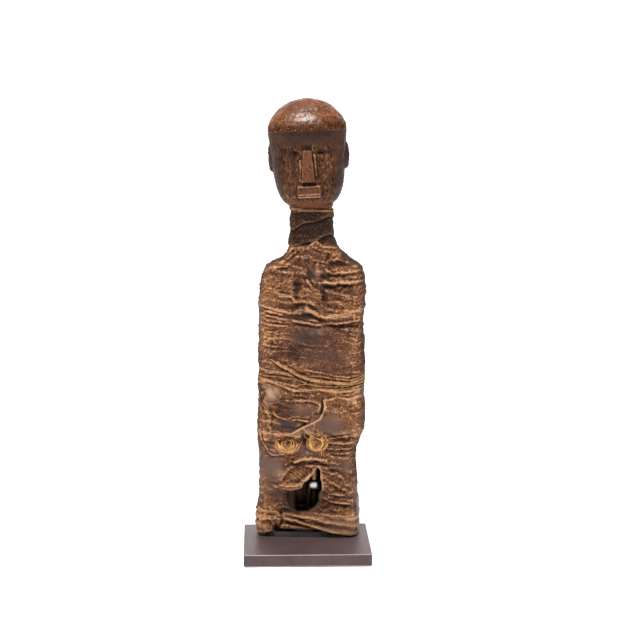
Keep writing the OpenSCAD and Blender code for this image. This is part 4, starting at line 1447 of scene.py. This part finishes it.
def legs_field(p):
    """Trunk, shoulders and two legs under the hide."""
    x, y, z = p[:, 0], p[:, 1], p[:, 2]
    middle = middle_at(z)
    half = half_at(z) - WRAP - 0.35
    deep = np.interp(z, [200, 222, 240], [HALF_D, 11.4, 11.2])
    corner = 6.0
    dx = np.abs(x - middle) - (half - corner)
    dy = np.abs(y) - (deep - corner)
    d = np.hypot(np.maximum(dx, 0), np.maximum(dy, 0)) + np.minimum(np.maximum(dx, dy), 0) - corner
    d = np.maximum(d, z - 240)
    foot = np.where(x < 2, 4.5, 1.0)
    d = np.maximum(d, foot - z)
    left, right = LEG_INNER
    gap_x = np.abs(x - (left + right) / 2) - (right - left) / 2
    arch = np.hypot(np.maximum(gap_x + 10, 0), np.maximum(z - CROTCH_Z + 10, 0)) - 10
    gap = np.where(z > CROTCH_Z - 10, np.where(gap_x > -10, arch, z - CROTCH_Z), gap_x)
    d = cut_by(d, gap, 1.5)
    bore = np.hypot(x - 2, y) - 4.1
    d = np.maximum(d, -np.maximum(bore, z - 130))
    return d - 0.35 * (creases(p, 7, 99, (1, 1, 5)) - 0.3)


def middle_at(z):
    """x of the body's middle at a height."""
    return np.interp(z, TABLE_Z, MIDDLE_OF)


def half_at(z):
    """Half of the wrapped body's width at a height."""
    return np.interp(z, TABLE_Z, WIDE_OF) * (HALF_W + WRAP)


def solid_from(field, low, high, voxel):
    """Points and quads of a field's surface."""
    axes = [np.arange(a, b + voxel, voxel) for a, b in zip(low, high)]
    shape = tuple(len(a) for a in axes)
    values = np.empty(shape, np.float32)
    for i, x in enumerate(axes[0]):
        grid = np.meshgrid(axes[1], axes[2], indexing="ij")
        p = np.stack([np.full(grid[0].size, x), grid[0].ravel(), grid[1].ravel()], axis=1)
        values[i] = field(p).reshape(shape[1:])
    volume = openvdb.FloatGrid(background=3.0)
    volume.copyFromArray(np.clip(values, -3, 3))
    points, quads = volume.convertToQuads(isovalue=0.0)
    return points * voxel + np.array(low, float), quads


def head_to_doll(p):
    """Head's own frame to the doll's: it leans to the left."""
    c, s = math.cos(HEAD_LEAN), math.sin(HEAD_LEAN)
    return np.stack([c * p[:, 0] + s * p[:, 2] - HEAD_OVER, p[:, 1],
                     HEAD_Z - s * p[:, 0] + c * p[:, 2]], axis=1)


def head_and_neck(p):
    """Field of the head on its neck, in the head's own frame."""
    return joined(head_field(p), neck_field(head_to_doll(p)), 1.6)


def make_carving():
    voxel = 0.58
    head, head_faces = solid_from(head_and_neck, (-34, -28, -44), (34, 27, 85), voxel)
    trunk, trunk_faces = solid_from(legs_field, (-45, -17, -1), (44, 17, 243),
                                    1.7)
    points = np.concatenate([head_to_doll(head), trunk])
    faces = np.concatenate([head_faces, trunk_faces + len(head)])
    piece = new_mesh("carved_doll", place(points), faces)
    x, y, h = head.T
    uneven = noise(head, 6, 90) * 1.3 + noise(head, 2.2, 91) * 0.8
    dome = smooth_step(h + uneven * 0.5, LEDGE - 0.6, LEDGE + 0.8)
    rim = dome * (1 - smooth_step(h + uneven * 1.5, LEDGE + 3.6, LEDGE + 9))
    rim = rim * (0.35 + 0.65 * smooth_step(-y, -12, 6))
    # painted shade on the forehead under the dome's ledge
    brow = (smooth_step(h, 46.6, 48) * (1 - dome) * smooth_step(-y, 6, 12)
            * smooth_step(24 - np.abs(x), 0, 6))
    red = (smooth_step(10 - np.abs(x - 0.2), 0, 0.8) * smooth_step(3.0 - np.abs(h - 12.0), 0, 0.5)
           * (y < -17))
    chin = smooth_step(5.5 - h, 0, 3) * (h > -3) * 0.75
    # painted shade in the eye sockets and the slot under the nose
    socket_shade = np.maximum(0.55 * blob(x, h, (-11.4, 40.2), (5.4, 4)),
                         0.75 * blob(x, h, (12, 41.2), (6, 2.2))) * (y < -8)
    socket_shade = np.maximum(socket_shade, 0.5 * blob(x, h, (0.4, 17), (6, 2)) * (y < -8))
    # painted shade down the sides of the face, where the front light falls off
    side_shade = (smooth_step(np.abs(x), 19, 25) * (1 - dome) * (y < 6) * (h > 4)) * 0.75
    rubbed = (dome * np.exp(-((x + 2) / 19) ** 2) * smooth_step(8 - y, 0, 14)
              * smooth_step(h, LEDGE + 3, LEDGE + 10))
    # painted highlight along the lip edges, as lines on the mouth's rim
    lines = np.maximum(np.exp(-((h - 15.3) / 0.6) ** 2),
                       np.exp(-((np.abs(h - 8.1) - 0.95) / 0.4) ** 2))
    pale = lines * smooth_step(9.4 - np.abs(x - 0.2), 0, 1) * (y < -17)
    golden = (np.maximum(blob(x, h, (-11, 27), (6, 10)), blob(x, h, (12, 29), (6, 10)))
              + 0.8 * blob(x, h, (-4, 47), (14, 2))) * (y < -8) * (1 - dome)
    nose = smooth_step(4.6 - np.abs(x), 0, 0.8) * (y < -22) * (h < 43) * (h > 18.6)
    rest = np.zeros(len(trunk))
    # painted shade under the chin, in the sockets, and over the whole trunk, which is seen only through the tear
    painted_shade_share = np.concatenate([np.maximum(smooth_step(2 - h, 0, 5) * (h < -6), socket_shade), rest + 1])
    order = match_points(piece, place(points))
    for key, values in (("dome", dome), ("rim", rim), ("brow", np.maximum(brow, side_shade)),
                        ("polish", rubbed), ("gold", golden), ("pale", pale),
                        ("mouth", np.maximum(np.maximum(red * 0.9, nose * 0.75), chin))):
        store(piece, key, np.concatenate([values, rest])[order])
    store(piece, "inner", painted_shade_share[order])
    store_relief(piece, passes=8, reach=0.3)
    return own(piece, "carved_figure", "doll", WOOD)


# --- the stand -----------------------------------------------------------------------------------

# room between the rod and what goes round it
RUNNING_FIT = 0.05 * MM


def bevelled(name, work, width, material, node, body, sharp=0.5):
    """Object from a bmesh with its sharp edges rounded; the rounded faces are marked as edge."""
    edges = [e for e in work.edges if len(e.link_faces) == 2
             and e.calc_face_angle(0) > sharp]
    made = bmesh.ops.bevel(work, geom=edges, offset=width, segments=3, profile=0.7,
                           affect="EDGES", clamp_overlap=True)
    rounded = set(made["faces"])
    mesh = bpy.data.meshes.new(name)
    for face in work.faces:
        face.smooth = face in rounded or face.calc_area() < 4e-6
    marks = [1.0 if face in rounded else 0.0 for face in work.faces]
    # painted light: the top faces are marked to be coloured lighter
    lit_tops = [1.0 if face.normal.z > 0.9 else 0.0 for face in work.faces]
    work.to_mesh(mesh)
    work.free()
    for key, values in (("edge", marks), ("top", lit_tops)):
        mesh.attributes.new(key, "FLOAT", "FACE").data.foreach_set("value", values)
    return own(shown(name, mesh), node, body, material)


def ring_of(work, radius, z, sides):
    """A ring of new points round the rod's axis."""
    return [work.verts.new((AXIS.x + radius * math.cos(a), AXIS.y + radius * math.sin(a), z))
            for a in (2 * math.pi * k / sides for k in range(sides))]


def make_block():
    """The block, bored for the rod and counterbored below for its nut."""
    low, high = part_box("base_block")
    nut_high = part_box("retaining_nut")[1]
    recess = frame_radius("base_block", nut_high.z)
    bore = (rod_high.x - rod_low.x) / 2 + RUNNING_FIT
    floor_z = block_recess_top()
    sides = 48
    work = bmesh.new()

    def corners(z):
        return [work.verts.new((x, y, z)) for x, y in
                ((high.x, high.y), (low.x, high.y), (low.x, low.y), (high.x, low.y))]

    def plate(outer, hole, up):
        """A flat face with a hole, as one fan of faces for each side of the rectangle."""
        quarter = sides // 4
        for k in range(4):
            arc = [hole[(k * quarter + quarter // 2 + i) % sides] for i in range(quarter + 1)]
            face = [outer[k], outer[(k + 1) % 4]] + arc[::-1]
            work.faces.new(face if up else face[::-1])

    def wall(a, b):
        for k in range(len(a)):
            k2 = (k + 1) % len(a)
            work.faces.new((a[k], a[k2], b[k2], b[k]))

    top, foot = corners(high.z), corners(low.z)
    bore_top, bore_foot = (ring_of(work, bore, z, sides) for z in (high.z, floor_z))
    recess_top, recess_foot = (ring_of(work, recess, z, sides) for z in (floor_z, low.z))
    plate(top, bore_top, True)
    plate(foot, recess_foot, False)
    wall(foot, top)
    wall(bore_top, bore_foot)
    wall(bore_foot, recess_top)
    wall(recess_top, recess_foot)
    bmesh.ops.recalc_face_normals(work, faces=work.faces)
    return bevelled("base_plinth", work, 0.35 * MM, PATINA, "base_block", "stand")


def frame_radius(node, below):
    """Radius of a node's round recess round the rod, from its points under a height."""
    points = node_points(node)
    near = points[(points[:, 2] < below) & (np.abs(points[:, 0] - AXIS.x) < 0.02)]
    r = np.hypot(near[:, 0] - AXIS.x, near[:, 1] - AXIS.y)
    return float(r[r < 0.015].max())


def block_recess_top():
    """Height of the flat roof of the recess under the block."""
    points = node_points("base_block")
    r = np.hypot(points[:, 0] - AXIS.x, points[:, 1] - AXIS.y)
    inner = points[(r < 0.015) & (points[:, 2] < block_high.z - 0.0015)]
    return float(inner[:, 2].max())


def node_points(node):
    return points_of(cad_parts[node])


def make_collar():
    """The collar on the rod, with its edges rounded inside and out."""
    low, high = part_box("stop_collar")
    outer = (high.x - low.x) / 2
    inner = (rod_high.x - rod_low.x) / 2 + RUNNING_FIT
    profile = [(inner, low.z + 0.3 * MM), (inner + 0.3 * MM, low.z), (outer - 0.8 * MM, low.z),
               (outer - 0.3 * MM, low.z + 0.15 * MM), (outer, low.z + 0.7 * MM),
               (outer, high.z - 0.9 * MM), (outer - 0.25 * MM, high.z - 0.3 * MM),
               (outer - 0.9 * MM, high.z), (inner + 0.3 * MM, high.z), (inner, high.z - 0.3 * MM)]
    sides = 64
    work = bmesh.new()
    rings = [ring_of(work, radius, z, sides) for radius, z in profile]
    for ring, following in zip(rings, rings[1:] + rings[:1]):
        for k in range(sides):
            k2 = (k + 1) % sides
            work.faces.new((ring[k], ring[k2], following[k2], following[k]))
    bmesh.ops.recalc_face_normals(work, faces=work.faces)
    mesh = bpy.data.meshes.new("rod_collar")
    work.to_mesh(mesh)
    work.free()
    mesh.shade_smooth()
    return own(shown("rod_collar", mesh), "stop_collar", "spindle", STEEL)


def finish_cad_nodes():
    """The simple turned and cut parts keep their exact shape and get their finish."""
    for node, material in (("support_rod", SHADED_DARK_STEEL), ("levelling_plate", SHADED_PLATE),
                           ("washer", STEEL), ("retaining_nut", STEEL), ("liner_tube", SHADED_BRASS),
                           ("base_felt", FELT)):
        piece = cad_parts[node]
        piece.data.materials.clear()
        piece.data.materials.append(material)


# --- building ------------------------------------------------------------------------------------

finish_cad_nodes()
make_block()
make_collar()
make_carving()
make_hem_roll()
make_skirt_wrap()
make_hip_wrap()
make_chest_wrap()
make_shoulder_yoke()
make_neck_binding()
make_hip_flap()
make_waist_cords()
make_knots()
make_back_lacing()


# --- floor, light and camera ---------------------------------------------------------------------

def lamp(name, place_at, aim, size, power, tint=(1, 1, 1)):
    data = bpy.data.lights.new(name, "AREA")
    data.shape = "RECTANGLE"
    data.size, data.size_y = size
    data.energy = power
    data.color = tint
    made = bpy.data.objects.new(name, data)
    made.location = place_at
    made.rotation_euler = (Vector(aim) - Vector(place_at)).to_track_quat("-Z", "Y").to_euler()
    bpy.context.scene.collection.objects.link(made)


def make_floor():
    """A pale floor that curves up into a pale backdrop."""
    half, bend, tall = 4.0, 1.0, 4.0
    profile = [(-half, 0.0), (2.0, 0.0)]
    profile += [(2.0 + bend * math.sin(a), bend - bend * math.cos(a))
                for a in np.linspace(0.1, math.pi / 2, 14)]
    profile.append((2.0 + bend, tall))
    points, faces = [], []
    for y, z in profile:
        points += [(-half, y, z), (half, y, z)]
    for i in range(len(profile) - 1):
        faces.append((2 * i, 2 * i + 1, 2 * i + 3, 2 * i + 2))
    mesh = bpy.data.meshes.new("floor")
    mesh.from_pydata(points, [], faces)
    mesh.shade_smooth()
    floor = shown("floor", mesh)
    paper = Finish("pale_paper", base_color=(0.94, 0.94, 0.94, 1), roughness=0.9,
                   specular_ior_level=0.1, emission_color=(1, 1, 1, 1), emission_strength=0.82)
    fibres = paper.grain(4, 4)
    paper.finish(paper.mix(fibres, (0.93, 0.93, 0.93), (0.96, 0.96, 0.96)), None, fibres, 0.02)
    mesh.materials.append(paper.material)
    far = bpy.data.meshes.new("far_floor")
    far.from_pydata([(-60, -60, -0.003), (60, -60, -0.003), (60, 60, -0.003), (-60, 60, -0.003)],
                    [], [(0, 1, 2, 3)])
    far.materials.append(paper.material)
    shown("far_floor", far)


make_floor()
lamp("key", (-0.24, -0.84, 1.92), (0, 0, 0.2), (0.56, 0.56), 46)
lamp("left_fill", (-1.5, -1.0, 0.9), (0, 0, 0.18), (1.4, 1.6), 2)
lamp("right_fill", (1.5, -1.0, 0.9), (0, 0, 0.18), (1.4, 1.6), 1.2)

world = bpy.data.worlds.new("studio")
world.use_nodes = True
world.node_tree.nodes["Background"].inputs["Color"].default_value = (1, 1, 1, 1)
world.node_tree.nodes["Background"].inputs["Strength"].default_value = 0.1
bpy.context.scene.world = world
bpy.context.scene.view_settings.view_transform = "Standard"

camera_data = bpy.data.cameras.new("camera")
camera_data.lens = 103.31
camera_data.sensor_width = 36
camera = bpy.data.objects.new("camera", camera_data)
CAMERA_AT = Vector((-0.0374, -1.3772, 0.4037))
CAMERA_AIM = Vector((0.00288, -0.00008, 0.19487))
camera.location = CAMERA_AT
camera.rotation_euler = (CAMERA_AIM - CAMERA_AT).to_track_quat("-Z", "Y").to_euler()
bpy.context.scene.collection.objects.link(camera)
bpy.context.scene.camera = camera
